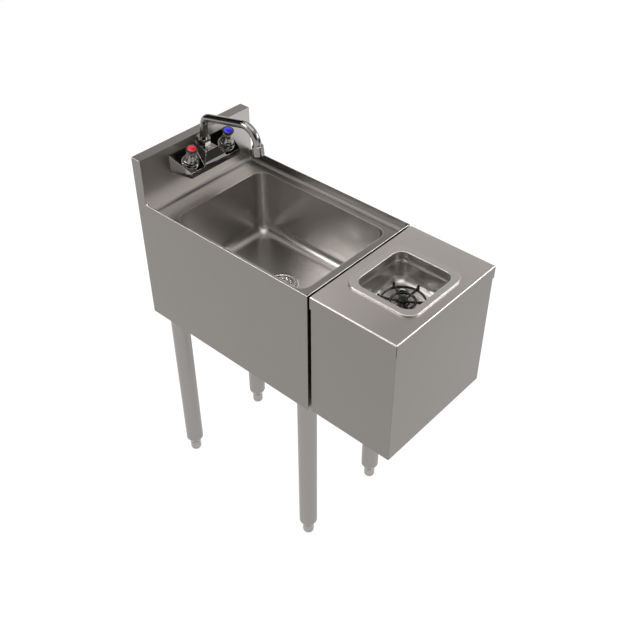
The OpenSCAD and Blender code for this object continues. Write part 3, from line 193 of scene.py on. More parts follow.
# A softbox: an area light, which reflections show as a bright panel
def softbox(name, width, depth, watts, place, target):
    data = bpy.data.lights.new(name, "AREA")
    data.shape = "RECTANGLE"
    data.size, data.size_y = width, depth
    data.energy = watts
    box = bpy.data.objects.new(name, data)
    bpy.context.scene.collection.objects.link(box)
    aim(box, place, target)


# A cloth that only reflections see, for the metal's darker and paler bands. It glows in its
# own colour, so that no lamp has to light it.
def cloth(name, width, depth, place, target, code):
    deselect()
    bpy.ops.mesh.primitive_plane_add(size=1)
    made = bpy.context.object
    made.name = name
    made.scale = (width, depth, 1)
    aim(made, place, target)
    material, tree = new_material(name)
    glow = add(tree, "Emission", {"Color": colour(code)})
    add(tree, "OutputMaterial", {"Surface": glow.outputs[0]})
    made.data.materials.append(material)
    made.visible_camera = False
    made.visible_diffuse = False
    made.visible_shadow = False
    made.visible_transmission = False


# A large soft light from above and smaller ones from the left rear and the front right. The
# flags and curtains are the dark things that the chrome, the bowl and the panels mirror.
def set_lights():
    bowl, spout_arm, faucet = (0, 0.05, 0.7), (0, 0.2, 0.93), (0, 0.28, 0.85)
    softbox("overhead_softbox", 2.4, 2.2, 22, (0, 0.1, 2.9), bowl)
    softbox("left_softbox", 0.9, 0.9, 20, (-1.75, 1.4, 2.0), bowl)
    softbox("front_softbox", 1.5, 0.7, 24, (1.5, -1.65, 1.9), bowl)
    cloth("pale_ceiling", 12, 12, (0, 0, 3.6), (0, 0, 0), "#d8d5d2")
    cloth("overhead_flag", 1.2, 0.9, (1.35, 0.5, 2.75), faucet, "#161514")
    cloth("back_flag", 2.2, 1.3, (0.1, 2.3, 2.5), spout_arm, "#161514")
    cloth("back_curtain", 2.8, 1.6, (-1.2, 2.7, 1.6), spout_arm, "#2a2927")
    cloth("camera_side_curtain", 4, 3, (-2.6, -2.4, 2.6), bowl, "#2e2c2b")
    cloth("front_curtain", 5, 1.6, (2.2, -3.2, 1.1), bowl, "#5a5855")


# Noise keeps mostly between these two values, and a Map Range spreads them apart
NOISE = {"From Min": 0.3, "From Max": 0.7}


# Stainless sheet with the mill's brushed finish. Belt lines are about 0.1 mm wide; they are
# drawn 0.6 mm wide and 140 mm long so that they show. Wiping leaves broad faint clouds.
def brushed_steel(name, code, grain, rough=0.34):
    line_w, line_l, cloud_w = 0.6 * MM, 140 * MM, 125 * MM
    line_gloss, cloud_gloss, line_shade = 0.015, 0.012, 0.965
    material, tree = new_material(name)
    place = add(tree, "TexCoord", {}).outputs["Object"]
    scales = [1 / (line_l if axis == grain else line_w) for axis in "xyz"]
    belt = add(tree, "Mapping", {"Vector": place, "Scale": scales})
    lines = add(tree, "TexNoise", {"Vector": belt.outputs[0], "Scale": 1, "Detail": 4,
                                   "Roughness": 0.6}).outputs["Fac"]
    clouds = add(tree, "TexNoise", {"Vector": place, "Scale": 1 / cloud_w, "Detail": 2})
    shine = add(tree, "MapRange", {"Value": lines, **NOISE, "To Min": rough - line_gloss,
                                   "To Max": rough + line_gloss})
    haze = add(tree, "MapRange", {"Value": clouds.outputs["Fac"], **NOISE,
                                  "To Min": -cloud_gloss, "To Max": cloud_gloss})
    gloss = add(tree, "Math", {0: shine.outputs[0], 1: haze.outputs[0]}, operation="ADD")
    depth = add(tree, "MapRange", {"Value": lines, **NOISE})
    streak = add(tree, "Mix", {"Factor": depth.outputs[0], 6: colour(code),
                               7: colour(code, line_shade)}, data_type="RGBA")
    bump = add(tree, "Bump", {"Height": lines, "Strength": 0.02, "Distance": 0.01 * MM})
    shader = add(tree, "BsdfPrincipled", {
        "Base Color": streak.outputs[2], "Metallic": 1.0, "Roughness": gloss.outputs[0],
        "Normal": bump.outputs[0]})
    add(tree, "OutputMaterial", {"Surface": shader.outputs[0]})
    return material


# Stainless drawn in a press and then satin polished: smoother than the sheet, and the
# polishing marks run every way, about 2 mm long
def drawn_steel(name, code, rough):
    mark_l, cloud_w, cloud_gloss, mark_shade = 2 * MM, 250 * MM, 0.01, 0.95
    material, tree = new_material(name)
    place = add(tree, "TexCoord", {}).outputs["Object"]
    marks = add(tree, "TexNoise", {"Vector": place, "Scale": 1 / mark_l, "Detail": 3,
                                   "Roughness": 0.6})
    clouds = add(tree, "TexNoise", {"Vector": place, "Scale": 1 / cloud_w, "Detail": 0})
    gloss = add(tree, "MapRange", {"Value": clouds.outputs["Fac"], "From Min": 0.2,
                                   "From Max": 0.8, "To Min": rough - cloud_gloss,
                                   "To Max": rough + cloud_gloss})
    polish = add(tree, "MapRange", {"Value": marks.outputs["Fac"], **NOISE})
    tint = add(tree, "Mix", {"Factor": polish.outputs[0], 6: colour(code),
                             7: colour(code, mark_shade)}, data_type="RGBA")
    shader = add(tree, "BsdfPrincipled", {
        "Base Color": tint.outputs[2], "Metallic": 1.0, "Roughness": gloss.outputs[0]})
    add(tree, "OutputMaterial", {"Surface": shader.outputs[0]})
    return material


# Metal buffed to a mirror and then plated or left bare, with finger smudges about 12 mm
# across that dull it a little
def mirror_metal(name, code, rough):
    smudge_w, smudge_gloss = 12 * MM, 0.04
    material, tree = new_material(name)
    place = add(tree, "TexCoord", {}).outputs["Object"]
    smudges = add(tree, "TexNoise", {"Vector": place, "Scale": 1 / smudge_w, "Detail": 3})
    gloss = add(tree, "MapRange", {"Value": smudges.outputs["Fac"], "From Min": 0.35,
                                   "From Max": 0.75, "To Min": rough,
                                   "To Max": rough + smudge_gloss})
    shader = add(tree, "BsdfPrincipled", {
        "Base Color": colour(code), "Metallic": 1.0, "Roughness": gloss.outputs[0]})
    add(tree, "OutputMaterial", {"Surface": shader.outputs[0]})
    return material


# Turned or cast metal left as the tool made it, with faint stains about 9 mm across. The
# tool's rings are 0.4 mm apart and drawn 0.8 mm apart so that they show.
def turned_metal(name, code, rough):
    ring_h, ring_w, stain_w, stain_shade, stain_gloss = 0.8 * MM, 40 * MM, 9 * MM, 0.78, 0.12
    material, tree = new_material(name)
    place = add(tree, "TexCoord", {}).outputs["Object"]
    feed = add(tree, "Mapping", {"Vector": place,
                                 "Scale": (1 / ring_w, 1 / ring_w, 1 / ring_h)})
    rings = add(tree, "TexNoise", {"Vector": feed.outputs[0], "Scale": 1})
    stains = add(tree, "TexNoise", {"Vector": place, "Scale": 1 / stain_w, "Detail": 4})
    spread = add(tree, "MapRange", {"Value": stains.outputs["Fac"], **NOISE}).outputs[0]
    tint = add(tree, "Mix", {"Factor": spread, 6: colour(code), 7: colour(code, stain_shade)},
               data_type="RGBA")
    gloss = add(tree, "MapRange", {"Value": spread, "To Min": rough,
                                   "To Max": rough + stain_gloss})
    bump = add(tree, "Bump", {"Height": rings.outputs["Fac"], "Strength": 0.3,
                              "Distance": 0.1 * MM})
    shader = add(tree, "BsdfPrincipled", {
        "Base Color": tint.outputs[2], "Metallic": 1.0, "Roughness": gloss.outputs[0],
        "Normal": bump.outputs[0]})
    add(tree, "OutputMaterial", {"Surface": shader.outputs[0]})
    return material


# Moulded plastic or rubber: the mould's fine texture, given in mm, and patches about 14 mm
# across that hands have worn paler and duller. A clear cast plastic has a coat as well.
def moulded(name, code, rough, texture, coat=0.0):
    patch_w, patch_shade, patch_gloss = 14 * MM, 1.2, 0.06
    material, tree = new_material(name)
    place = add(tree, "TexCoord", {}).outputs["Object"]
    skin = add(tree, "TexNoise", {"Vector": place, "Scale": 1 / (texture * MM), "Detail": 3})
    wear = add(tree, "TexNoise", {"Vector": place, "Scale": 1 / patch_w, "Detail": 3})
    worn = add(tree, "MapRange", {"Value": wear.outputs["Fac"], **NOISE}).outputs[0]
    tint = add(tree, "Mix", {"Factor": worn, 6: colour(code), 7: colour(code, patch_shade)},
               data_type="RGBA")
    gloss = add(tree, "MapRange", {"Value": worn, "To Min": rough,
                                   "To Max": rough + patch_gloss})
    bump = add(tree, "Bump", {"Height": skin.outputs["Fac"], "Strength": 0.12,
                              "Distance": 0.06 * MM})
    shader = add(tree, "BsdfPrincipled", {
        "Base Color": tint.outputs[2], "Roughness": gloss.outputs[0], "Coat Weight": coat,
        "Coat Roughness": 0.03, "Normal": bump.outputs[0]})
    add(tree, "OutputMaterial", {"Surface": shader.outputs[0]})
    return material


# Selects pieces and nothing else, the first of them active
def take(*objects):
    deselect()
    for piece in objects:
        piece.select_set(True)
    bpy.context.view_layer.objects.active = objects[0]


def edit(piece):
    take(piece)
    bpy.ops.object.mode_set(mode="EDIT")


# In edit mode, selects only the faces, edges or vertices for which the test is true
def pick(piece, kind, test):
    bpy.ops.mesh.select_all(action="DESELECT")
    bpy.ops.mesh.select_mode(type={"faces": "FACE", "edges": "EDGE", "verts": "VERT"}[kind])
    mesh = bmesh.from_edit_mesh(piece.data)
    mesh.normal_update()
    for element in getattr(mesh, kind):
        element.select_set(bool(test(element)))
    mesh.select_flush_mode()
    bmesh.update_edit_mesh(piece.data)


# Whether an edge runs level at a height
def level(edge, height):
    return all(abs(v.co.z - height * MM) < NEAR for v in edge.verts)


# Whether an edge joins a level face to an upright one
def at_corner(edge):
    return {round(abs(face.normal.z)) for face in edge.link_faces} == {0, 1}


# Whether an edge lies in an upright plane, across the X axis (0) or the Y axis (1), and
# above a height
def in_plane(edge, axis, at, above):
    return all(abs(v.co[axis] - at) < NEAR and v.co.z > above for v in edge.verts)


# Applies a modifier with the given settings to a piece
def modify(piece, kind, **settings):
    take(piece)
    modifier = piece.modifiers.new(kind.lower(), kind)
    for name, value in settings.items():
        setattr(modifier, name, value)
    bpy.ops.object.modifier_apply(modifier=modifier.name)


def extrude(x=0, z=0):
    bpy.ops.mesh.extrude_region_move(TRANSFORM_OT_translate={"value": (x * MM, 0, z * MM)})


def bevel_edges(width, segments):
    bpy.ops.mesh.bevel(offset=width * MM, segments=segments, profile=0.5, affect="EDGES",
                       clamp_overlap=False)


# Extrudes a loop of edges up by a rise and widens it round the Z axis by a share
def extrude_loop(share, rise):
    bpy.ops.mesh.extrude_edges_move(TRANSFORM_OT_translate={"value": (0, 0, rise * MM)})
    widen(share, share)


def widen(share_x, share_y):
    bpy.ops.transform.resize(value=(share_x, share_y, 1), center_override=(0, 0, 0))


# Merges what lies together and turns all faces outwards
def outward(piece):
    same_place = 0.002 * MM
    edit(piece)
    bpy.ops.mesh.select_all(action="SELECT")
    bpy.ops.mesh.remove_doubles(threshold=same_place)
    bpy.ops.mesh.normals_make_consistent(inside=False)
    bpy.ops.object.mode_set(mode="OBJECT")


# Puts a piece that was modelled at the origin in its place, and leaves its object unturned
def set_in_place(piece, place, tilt=0):
    take(piece)
    piece.rotation_euler = (math.radians(tilt), 0, 0)
    piece.location = Vector(place) * MM
    bpy.ops.object.transform_apply(location=True, rotation=True, scale=True)


# A node's size, and the middle of its top, in mm
def size_and_top(node):
    low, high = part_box(node)
    middle = (low + high) / 2
    return (high - low) / MM, Vector((middle.x, middle.y, high.z)) / MM


# A hinge's place in mm and its axis, and how far that leans forward, in degrees
def hinge(name):
    axis = Vector(JOINTS[name]["axis"])
    lean = math.degrees(math.atan2(-axis.y, axis.z))
    return Vector(JOINTS[name]["pos_m"]) / MM, axis, lean


# A flat plate with rounded corners at height 0, in edit mode with its face selected
def rounded_plate(name, width, depth, corner, segments=10):
    deselect()
    bpy.ops.mesh.primitive_plane_add(size=1)
    piece = bpy.context.object
    piece.name = name
    piece.scale = (width * MM, depth * MM, 1)
    bpy.ops.object.transform_apply(location=False, rotation=False, scale=True)
    edit(piece)
    bpy.ops.mesh.select_all(action="SELECT")
    bpy.ops.mesh.bevel(offset=corner * MM, segments=segments, affect="VERTICES")
    bpy.ops.mesh.select_mode(type="FACE")
    bpy.ops.mesh.select_all(action="SELECT")
    return piece


# A circle at a height, in edit mode with all of it selected
def circle(name, sides, radius, height):
    deselect()
    bpy.ops.mesh.primitive_circle_add(vertices=sides, radius=radius * MM,
                                      location=(0, 0, height * MM))
    piece = bpy.context.object
    piece.name = name
    bpy.ops.object.transform_apply(location=True, rotation=False, scale=False)
    edit(piece)
    bpy.ops.mesh.select_all(action="SELECT")
    return piece


# Turns a profile on the Z axis: one loop of vertices is extruded from each radius and height
# to the next. A closed profile ends where it starts; an open one has its ends filled.
def turned(name, profile, sides=48, closed=False):
    radius, height = profile[0]
    piece = circle(name, sides, radius, height)
    if not closed:
        bpy.ops.mesh.edge_face_add()
        pick(piece, "edges", lambda edge: True)
    for next_radius, next_height in profile[1:]:
        extrude_loop(next_radius / radius, next_height - height)
        radius, height = next_radius, next_height
    if not closed:
        bpy.ops.mesh.edge_face_add()
    bpy.ops.object.mode_set(mode="OBJECT")
    outward(piece)
    return piece


# Joins another piece to this one or cuts it out, and removes the other
def combine(piece, other, operation):
    modify(piece, "BOOLEAN", object=other, operation=operation, solver="EXACT")
    bpy.data.objects.remove(other)


# Cuts round holes through a piece, each given by its place in the piece's plan and radius
def bore(piece, holes):
    through, sides = 600, 48
    for x, y, radius in holes:
        deselect()
        bpy.ops.mesh.primitive_cylinder_add(vertices=sides, radius=radius * MM,
                                            depth=through * MM,
                                            location=(x * MM, y * MM, 0))
        combine(piece, bpy.context.object, "DIFFERENCE")


# A copy of a CAD node's mesh, its triangles merged and its flat faces joined
def merged_copy(node, name):
    same_place, flat = 0.004 * MM, math.radians(0.4)
    piece = bpy.data.objects.new(name, frame["nodes"][node].data.copy())
    bpy.context.scene.collection.objects.link(piece)
    take(piece)
    bpy.ops.mesh.customdata_custom_splitnormals_clear()
    bpy.ops.object.mode_set(mode="EDIT")
    bpy.ops.mesh.select_all(action="SELECT")
    bpy.ops.mesh.remove_doubles(threshold=same_place)
    bpy.ops.mesh.dissolve_limited(angle_limit=flat)
    bpy.ops.object.mode_set(mode="OBJECT")
    return piece


# The finished piece: smooth where its faces meet at less than the angle and flat where it is
# flat, with one material, standing for its node
def hand_over(piece, node, material, angle=30):
    take(piece)
    bpy.ops.object.shade_smooth_by_angle(angle=math.radians(angle))
    modify(piece, "WEIGHTED_NORMAL", keep_sharp=True, weight=80)
    piece.data.materials.clear()
    piece.data.materials.append(material)
    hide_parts(node)
    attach(piece, frame["nodes"][node]["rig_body"])


# A second finish on the faces that the test picks
def refinish(piece, material, test):
    piece.data.materials.append(material)
    for face in piece.data.polygons:
        if test(face):
            face.material_index = len(piece.data.materials) - 1


# A CAD node with its sharp edges broken as a deburring tool or a mould leaves them. The
# edges that a test picks are folds of the sheet, and get the fold's wider round first.
def deburred(node, material, edge, fold_test=None):
    fold_r, wide, sharp = 1.0, 0.5, 35
    piece = merged_copy(node, node + "_finished")
    if fold_test:
        edit(piece)
        pick(piece, "edges", fold_test)
        bevel_edges(fold_r, 4)
        bpy.ops.object.mode_set(mode="OBJECT")
    modify(piece, "BEVEL", width=edge * MM, segments=3 if edge > wide else 2,
           limit_method="ANGLE", angle_limit=math.radians(sharp), use_clamp_overlap=True)
    hand_over(piece, node, material)
    return piece


# The deep-drawn bowl: its top edge lies flush in the deck, welded and ground to it, and its
# walls run into the floor in one wide radius
def make_bowl():
    size, top = size_and_top("sink_bowl")
    sheet, corner, floor_r, drain_hole_r = 1.2, 26, 24, 28.8
    broken_edge, sharp = 0.3, 60
    # The level edge round the opening laps a hair over the deck's, so that no line shows
    edge, lap = 2, 0.02
    depth = size.z - sheet
    piece = rounded_plate("drawn_bowl", size.x + 2 * lap, size.y + 2 * lap,
                          corner + edge + lap, 12)
    bpy.ops.mesh.inset(thickness=(edge + lap) * MM, use_even_offset=True)
    extrude(z=-depth)
    pick(piece, "edges", lambda e: level(e, -depth))
    bevel_edges(floor_r, 12)
    bpy.ops.object.mode_set(mode="OBJECT")
    modify(piece, "SOLIDIFY", thickness=sheet * MM, offset=-1)
    bore(piece, [(0, 0, drain_hole_r)])
    modify(piece, "BEVEL", width=broken_edge * MM, segments=2, limit_method="ANGLE",
           angle_limit=math.radians(sharp))
    set_in_place(piece, top)
    hand_over(piece, "sink_bowl", bowl_steel)


# The drop-in pan: a turned-down rim, a stacking shoulder part of the way down, and a basin.
# Its flange is bridged between two rounded outlines, and the basin is pressed out of it.
def make_pan():
    size, top = size_and_top("rinser_pan")
    drain = size_and_top("pan_drain_body")[1] - top
    sheet, flange, flange_corner, corner, lip = 0.9, 14, 24, 22, 4
    shoulder, slope, step, floor_r = 17, 6, 2.4, 15
    rim_r, shoulder_r, valve_hole_r, drain_hole_r = 1.5, 2.4, 11.3, 10.3
    depth = size.z - sheet
    opening_w, opening_d = size.x - 2 * flange, size.y - 2 * flange
    outline = rounded_plate("pan_outline", size.x, size.y, flange_corner)
    bpy.ops.mesh.delete(type="ONLY_FACE")
    piece = rounded_plate("drop_in_pan", opening_w, opening_d, corner)
    bpy.ops.mesh.delete(type="ONLY_FACE")
    take(piece, outline)
    bpy.ops.object.join()
    edit(piece)
    bpy.ops.mesh.select_mode(type="EDGE")
    bpy.ops.mesh.select_all(action="SELECT")
    bpy.ops.mesh.bridge_edge_loops()
    # The basin starts as a face across the opening
    pick(piece, "edges", lambda e: all(abs(v.co.x) < opening_w / 2 * MM + NEAR
                                       and abs(v.co.y) < opening_d / 2 * MM + NEAR
                                       for v in e.verts))
    bpy.ops.mesh.edge_face_add()
    pick(piece, "faces", lambda f: len(f.verts) > 4)
    extrude(z=-shoulder)
    extrude(z=-slope)
    widen(1 - 2 * step / opening_w, 1 - 2 * step / opening_d)
    extrude(z=shoulder + slope - depth)
    pick(piece, "edges", lambda e: e.is_boundary)
    extrude_loop(1, -lip)
    pick(piece, "edges", lambda e: level(e, -depth))
    bevel_edges(floor_r, 8)
    pick(piece, "edges", lambda e: level(e, 0) and at_corner(e))
    bevel_edges(rim_r, 4)
    for height in (-shoulder, -shoulder - slope):
        pick(piece, "edges", lambda e: level(e, height))
        bevel_edges(shoulder_r, 4)
    bpy.ops.object.mode_set(mode="OBJECT")
    outward(piece)
    modify(piece, "SOLIDIFY", thickness=sheet * MM, offset=-1)
    bore(piece, [(0, 0, valve_hole_r), (drain.x, drain.y, drain_hole_r)])
    set_in_place(piece, top)
    hand_over(piece, "rinser_pan", pan_steel)


# The way the spout's tube runs once it has bent forward from upright by some degrees
def along_tube(bent):
    return Vector((0, -math.sin(math.radians(bent)), math.cos(math.radians(bent))))


# The swing spout: chromed tube with a collar near its foot, bent twice, up and forward out
# of its nut, then down. Each bend is its radius, its degrees, its steps and the straight
# tube that follows it.
def make_spout():
    place, _, lean = hinge("spout_swing")
    radius, wall, foot, riser = 8.3, 1.3, 12, 49.71
    collar_r, collar_z, collar_h = 9.6, 1.3, 3
    bends = [(20, 68.8, 14, 98.53), (33, 96.2, 20, 10)]
    piece = circle("bent_spout_tube", 40, radius, -foot)
    extrude_loop(1, foot + collar_z)
    extrude_loop(collar_r / radius, 0)
    extrude_loop(1, collar_h)
    extrude_loop(radius / collar_r, 0)
    extrude_loop(1, riser - collar_z - collar_h)
    end, bent = Vector((0, 0, riser)), 0
    for bend_r, bend, steps, straight in bends:
        centre = end + bend_r * along_tube(bent + 90)
        bpy.ops.mesh.spin(steps=steps, angle=-math.radians(bend), center=centre * MM,
                          axis=(1, 0, 0))
        bent += bend
        end = centre - bend_r * along_tube(bent + 90) + straight * along_tube(bent)
        bpy.ops.mesh.extrude_edges_move(
            TRANSFORM_OT_translate={"value": along_tube(bent) * straight * MM})
    bpy.ops.object.mode_set(mode="OBJECT")
    outward(piece)
    modify(piece, "SOLIDIFY", thickness=wall * MM, offset=-1)
    set_in_place(piece, place, lean)
    hand_over(piece, "spout", tube_plate, 50)


# 1 in the middle of a flute, 2 on its flanks and 3 on the lobe between two flutes
def flute_step(place):
    turn = math.degrees(math.atan2(place.y, place.x)) % 60
    return 1 + round(min(turn, 60 - turn) / 15)


# The six-fluted bell of a handle, hollow under its skirt for the valve's bonnet. The flutes
# fade out towards its top.
def make_handle(side):
    place, axis, lean = hinge(side + "_handle_turn")
    skirt, recess, socket, bonnet_r, stem_r = -26, -17, -6, 11.6, 4.02
    flute_depth, flank_share, fade_from, fade_l = 2.0, 0.42, -1.2, 6
    outside = [(15.5, skirt), (15.5, -25.1), (15.2, -23.6), (14.5, -21.4), (13.2, -18.6),
               (11.6, -15.4), (10.3, -12.2), (9.75, -9.2), (9.7, -6.6), (10.2, -3.6),
               (11.0, -1.4), (11.5, -0.4), (11.5, 0)]
    hollow = [(stem_r, socket), (stem_r, recess), (bonnet_r, recess), (bonnet_r, skirt)]
    piece = turned(side + "_handle_bell", [(POLE, socket)] + hollow + outside + [(POLE, 0)],
                   24)
    edit(piece)
    for radius, height in outside[1:-2]:
        depth = flute_depth * min(1, (fade_from - height) / fade_l)
        for step, share in ((1, 1.0), (2, flank_share)):
            pick(piece, "verts", lambda v: abs(v.co.z - height * MM) < NEAR
                 and flute_step(v.co) == step)
            widen(1 - depth * share / radius, 1 - depth * share / radius)
    # The hollow's edges stay sharp, and the top's and the skirt's nearly so
    pick(piece, "edges", lambda e: all(any(
        abs(v.co.xy.length - r * MM) < NEAR and abs(v.co.z - z * MM) < NEAR
        for r, z in hollow) for v in e.verts))
    bpy.ops.transform.edge_crease(value=1)
    pick(piece, "edges", lambda e: level(e, 0) or level(e, skirt))
    bpy.ops.transform.edge_crease(value=0.8)
    bpy.ops.object.mode_set(mode="OBJECT")
    modify(piece, "SUBSURF", levels=2, render_levels=2)
    set_in_place(piece, place - RING_T * axis, lean)
    hand_over(piece, side + "_handle", plate, 60)


# The black rim ring and the domed colour button let into it
def make_index(side, button_material):
    place, _, lean = hinge(side + "_handle_turn")
    ring = turned(side + "_rim_ring", [
        (POLE, -RING_T), (12.1, -RING_T), (12.5, -3.0), (12.5, -0.8), (12.2, -0.25),
        (11.6, 0), (9.9, 0), (9.4, -0.25), (9.4, -0.6), (10.3, -0.95), (10.3, -2.4),
        (POLE, -2.4)], 64)
    set_in_place(ring, place, lean)
    hand_over(ring, side + "_index_ring", black_star, 40)
    button = turned(side + "_button", [
        (POLE, -2.4), (10.25, -2.4), (10.25, -1.05), (9.35, -0.68), (9.3, -0.15), (9.0, 0.1),
        (7.2, 0.36), (4.3, 0.52), (2.2, 0.58), (POLE, 0.6)], 64)
    set_in_place(button, place, lean)
    hand_over(button, side + "_index_button", button_material, 40)


# One arm along X: a flat bar from the hub, its top rising past the inner ring to the nub
def make_arm():
    start, knee, end, width, thick, foot, rise = 6, 23, 47, 3, 4, 0.3, 5
    top, edge_r = foot + thick, 0.7
    deselect()
    bpy.ops.mesh.primitive_cube_add(size=1)
    bar = bpy.context.object
    bar.scale = ((knee - start) * MM, width * MM, thick * MM)
    bar.location = ((start + knee) / 2 * MM, 0, (foot + thick / 2) * MM)
    bpy.ops.object.transform_apply(location=True, rotation=False, scale=True)
    edit(bar)
    pick(bar, "faces", lambda f: f.normal.x > 0.9)
    extrude(x=end - knee)
    pick(bar, "verts", lambda v: v.co.x > end * MM - NEAR and v.co.z > top * MM - NEAR)
    bpy.ops.transform.translate(value=(0, 0, rise * MM))
    # The long edges, where two faces meet at more than a radian
    pick(bar, "edges", lambda e: e.calc_face_angle(0) > 1
         and abs(e.verts[0].co.x - e.verts[1].co.x) > NEAR)
    bevel_edges(edge_r, 3)
    bpy.ops.object.mode_set(mode="OBJECT")
    nub = turned("nub", [
        (POLE, 0.1), (2.4, 0.1), (2.8, 0.5), (2.8, 9.6), (2.6, 10.7), (2.05, 11.6),
        (1.2, 12.2), (POLE, 12.4)], 20)
    set_in_place(nub, (end, 0, 0))
    combine(bar, nub, "UNION")
    return bar


# The black star that a glass presses down: a hub, two rings, and arms that rise to round nubs
def make_star():
    size, top = size_and_top("rinser_star")
    # The hub is bored for the stem and recessed at its top for the nozzle
    star = turned("press_star", [
        (4.02, 0), (8.4, 0), (9.0, 0.6), (9.0, 8.2), (8.2, 9.0), (6.02, 9.0), (6.02, 7.0),
        (4.02, 7.0), (4.02, 0)], closed=True)
    half, height, soft, arms = 1.8, 4.6, 0.7, 6
    for middle_r in (24.2, 42.8):
        inner, outer = middle_r - half, middle_r + half
        ring = turned("star_ring", [
            (inner, soft), (inner, height - soft), (inner + soft, height),
            (outer - soft, height), (outer, height - soft), (outer, soft), (outer - soft, 0),
            (inner + soft, 0), (inner, soft)], 72, closed=True)
        combine(star, ring, "UNION")
    for arm in range(arms):
        bar = make_arm()
        take(bar)
        bar.rotation_euler = (0, 0, math.radians(360 / arms * arm))
        bpy.ops.object.transform_apply(location=False, rotation=True, scale=False)
        combine(star, bar, "UNION")
    set_in_place(star, top - Vector((0, 0, size.z)))
    hand_over(star, "rinser_star", black_star, 40)


# The valve's coil spring stands on the chamber's floor, and the stem presses it together. It
# keeps its CAD shape here, in a mesh of its own.
def make_spring():
    piece = merged_copy("rinser_spring", "return_spring")
    hand_over(piece, "rinser_spring", bright_steel)
    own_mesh(piece)


# Which faces of a piece get a second finish: the rounds of its folds, with a painted
# highlight;
# its skirt that hangs down, with painted shade; the splash that stands up, with painted light;
# and the cove between deck and splash, rubbed rougher, which starts at the deck and ends just
# above the rim
def on_fold(face):
    return 0.2 < face.normal.z < 0.97


def on_skirt(face):
    return abs(face.normal.z) < 0.2


def on_splash(face):
    return abs(face.normal.y) > 0.9


def in_cove(face):
    cove_top = RIM + 13 * MM
    return (0.1 < face.normal.xy.length < 0.9 and face.normal.z > 0.1
            and face.center.z < cove_top)


bpy.context.scene.view_settings.view_transform = "Standard"
set_camera()
set_world()
set_floor()
set_lights()

# Sheet, by the way its belt lines run and how far it is rubbed. Their colours are lighter and
# darker copies of one stainless as it was lit: painted light on the cover's top and the
# splash, painted shade on the sides, the cover's skirt, the front, the deck and its cove, and
# a painted highlight on the folds
side_steel_painted_shade = brushed_steel("brushed_stainless_along_depth", "#888480", "y")
top_steel_painted_light = brushed_steel("brushed_stainless_top", "#c4bfbb", "y", 0.3)
deck_steel_painted_shade = brushed_steel("brushed_stainless_deck", "#8c8986", "x")
splash_steel_painted_light = brushed_steel("brushed_stainless_splash", "#b6b2af", "x")
cove_steel = brushed_steel("hand_blended_stainless", "#8f8c89", "x", 0.6)
# The folds' pale colour is a painted highlight along their rounds
fold_steel_painted_highlight = brushed_steel("stainless_fold_rubbed_bright", "#e6e3e0", "y", 0.42)
front_steel = brushed_steel("brushed_stainless_along_width", "#918d89", "x")
tube_steel = brushed_steel("brushed_stainless_tube", "#999593", "z", 0.38)
# Drawn, buffed, plated and turned metal. The spout's plate is duller for its bending.
bowl_steel = drawn_steel("satin_drawn_stainless", "#b8b5b2", 0.3)
pan_steel = drawn_steel("bright_drawn_stainless", "#c6c3c0", 0.33)
# The drain's stainless is coloured paler than stainless is: painted light, for its bright
# rings
polished_steel_painted_light = mirror_metal("polished_stainless", "#f1efed", 0.08)
# Both chromes are coloured darker than chrome is: painted shade, for the dark studio it
# mirrors
plate = mirror_metal("chrome_plated_brass", "#8b8987", 0.03)
tube_plate = mirror_metal("chrome_plated_bent_tube", "#8b8987", 0.13)
bare_brass = turned_metal("machined_brass", "#b2945a", 0.28)
bright_steel = turned_metal("turned_stainless", "#a8a5a2", 0.22)
# Mouldings
black_rubber = moulded("moulded_black_rubber", "#1e1e1e", 0.6, 0.6)
black_star = moulded("moulded_black_acetal", "#0d0d0e", 0.22, 0.5)
red_button = moulded("moulded_red_acrylic", "#c8101a", 0.1, 2.0, 0.4)
blue_button = moulded("moulded_blue_acrylic", "#2224cc", 0.1, 2.0, 0.4)

# The aerator's screen keeps its CAD mesh
screen = frame["nodes"]["aerator_screen"]
screen.data.materials.clear()
screen.data.materials.append(bright_steel)

make_bowl()
make_pan()
make_spout()
make_handle("hot")
make_handle("cold")
make_index("hot", red_button)
make_index("cold", blue_button)
make_star()
make_spring()

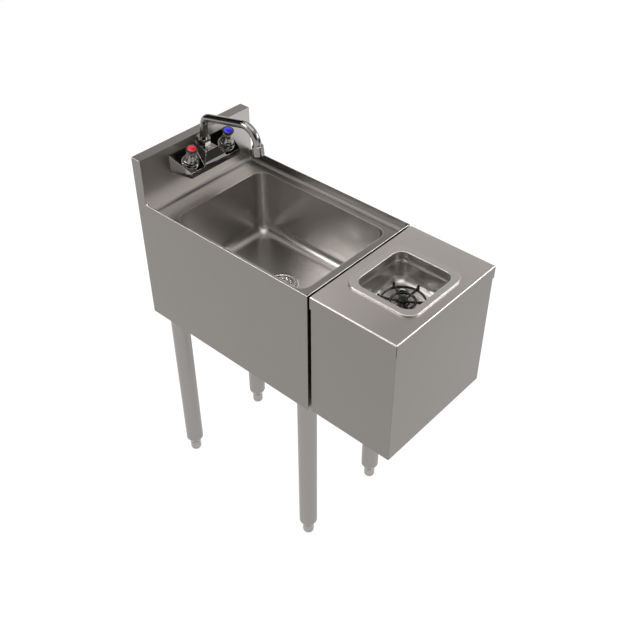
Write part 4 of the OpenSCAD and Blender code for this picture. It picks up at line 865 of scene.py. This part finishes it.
# The other nodes keep their CAD shape, with their edges broken
finishes = {
    side_steel_painted_shade: "left_panel right_panel box_shell",
    top_steel_painted_light: "box_cover",
    deck_steel_painted_shade: "deck_splash",
    front_steel: "front_panel box_back front_leg_rail rear_leg_rail",
    polished_steel_painted_light: "drain_body drain_basket",
    tube_steel: "leg_front_left leg_front_right leg_rear_left leg_rear_right",
    bright_steel: "leg_sockets socket_screws foot_collars foot_front_left foot_front_right "
                  "foot_rear_left foot_rear_right shank_washers box_bolts box_spacers "
                  "rinser_stem",
    plate: "drain_tailpiece tailpiece_nut faucet_body spout_nut aerator pan_drain_body "
           "rinser_valve_body",
    bare_brass: "drain_locknut faucet_shanks shank_locknuts hot_cartridge cold_cartridge "
                "hot_stem cold_stem pan_drain_nut rinser_locknut rinser_inlet",
    black_rubber: "drain_gasket faucet_gasket spout_seal rinser_gasket",
    black_star: "rinser_nozzle",
}
# How wide their edges are broken, in mm, where that isn't the usual width
usual_round = 0.35
rounds = {"faucet_body": 0.9, "box_cover": 0.5, "spout_nut": 0.5, "deck_splash": 0.4}

# The folds of the cabinet's panels: the edges of their outer faces along the top
upper = RIM - 60 * MM
folds = {
    "left_panel": lambda edge: in_plane(edge, 0, LEFT, upper),
    "right_panel": lambda edge: in_plane(edge, 0, RIGHT, upper),
    "front_panel": lambda edge: in_plane(edge, 1, FRONT, RIM - NEAR),
}

# What those faces are finished with: a painted highlight on the folds, painted shade on the
# cover's skirt, painted light on the splash, and a rougher blend in the cove
second_finishes = {
    "left_panel": [(fold_steel_painted_highlight, on_fold)],
    "right_panel": [(fold_steel_painted_highlight, on_fold)],
    "front_panel": [(fold_steel_painted_highlight, on_fold)],
    "box_cover": [(side_steel_painted_shade, on_skirt)],
    "deck_splash": [(splash_steel_painted_light, on_splash), (cove_steel, in_cove)],
}
for material, names in finishes.items():
    for node in names.split():
        piece = deburred(node, material, rounds.get(node, usual_round), folds.get(node))
        for second, test in second_finishes.get(node, []):
            refinish(piece, second, test)
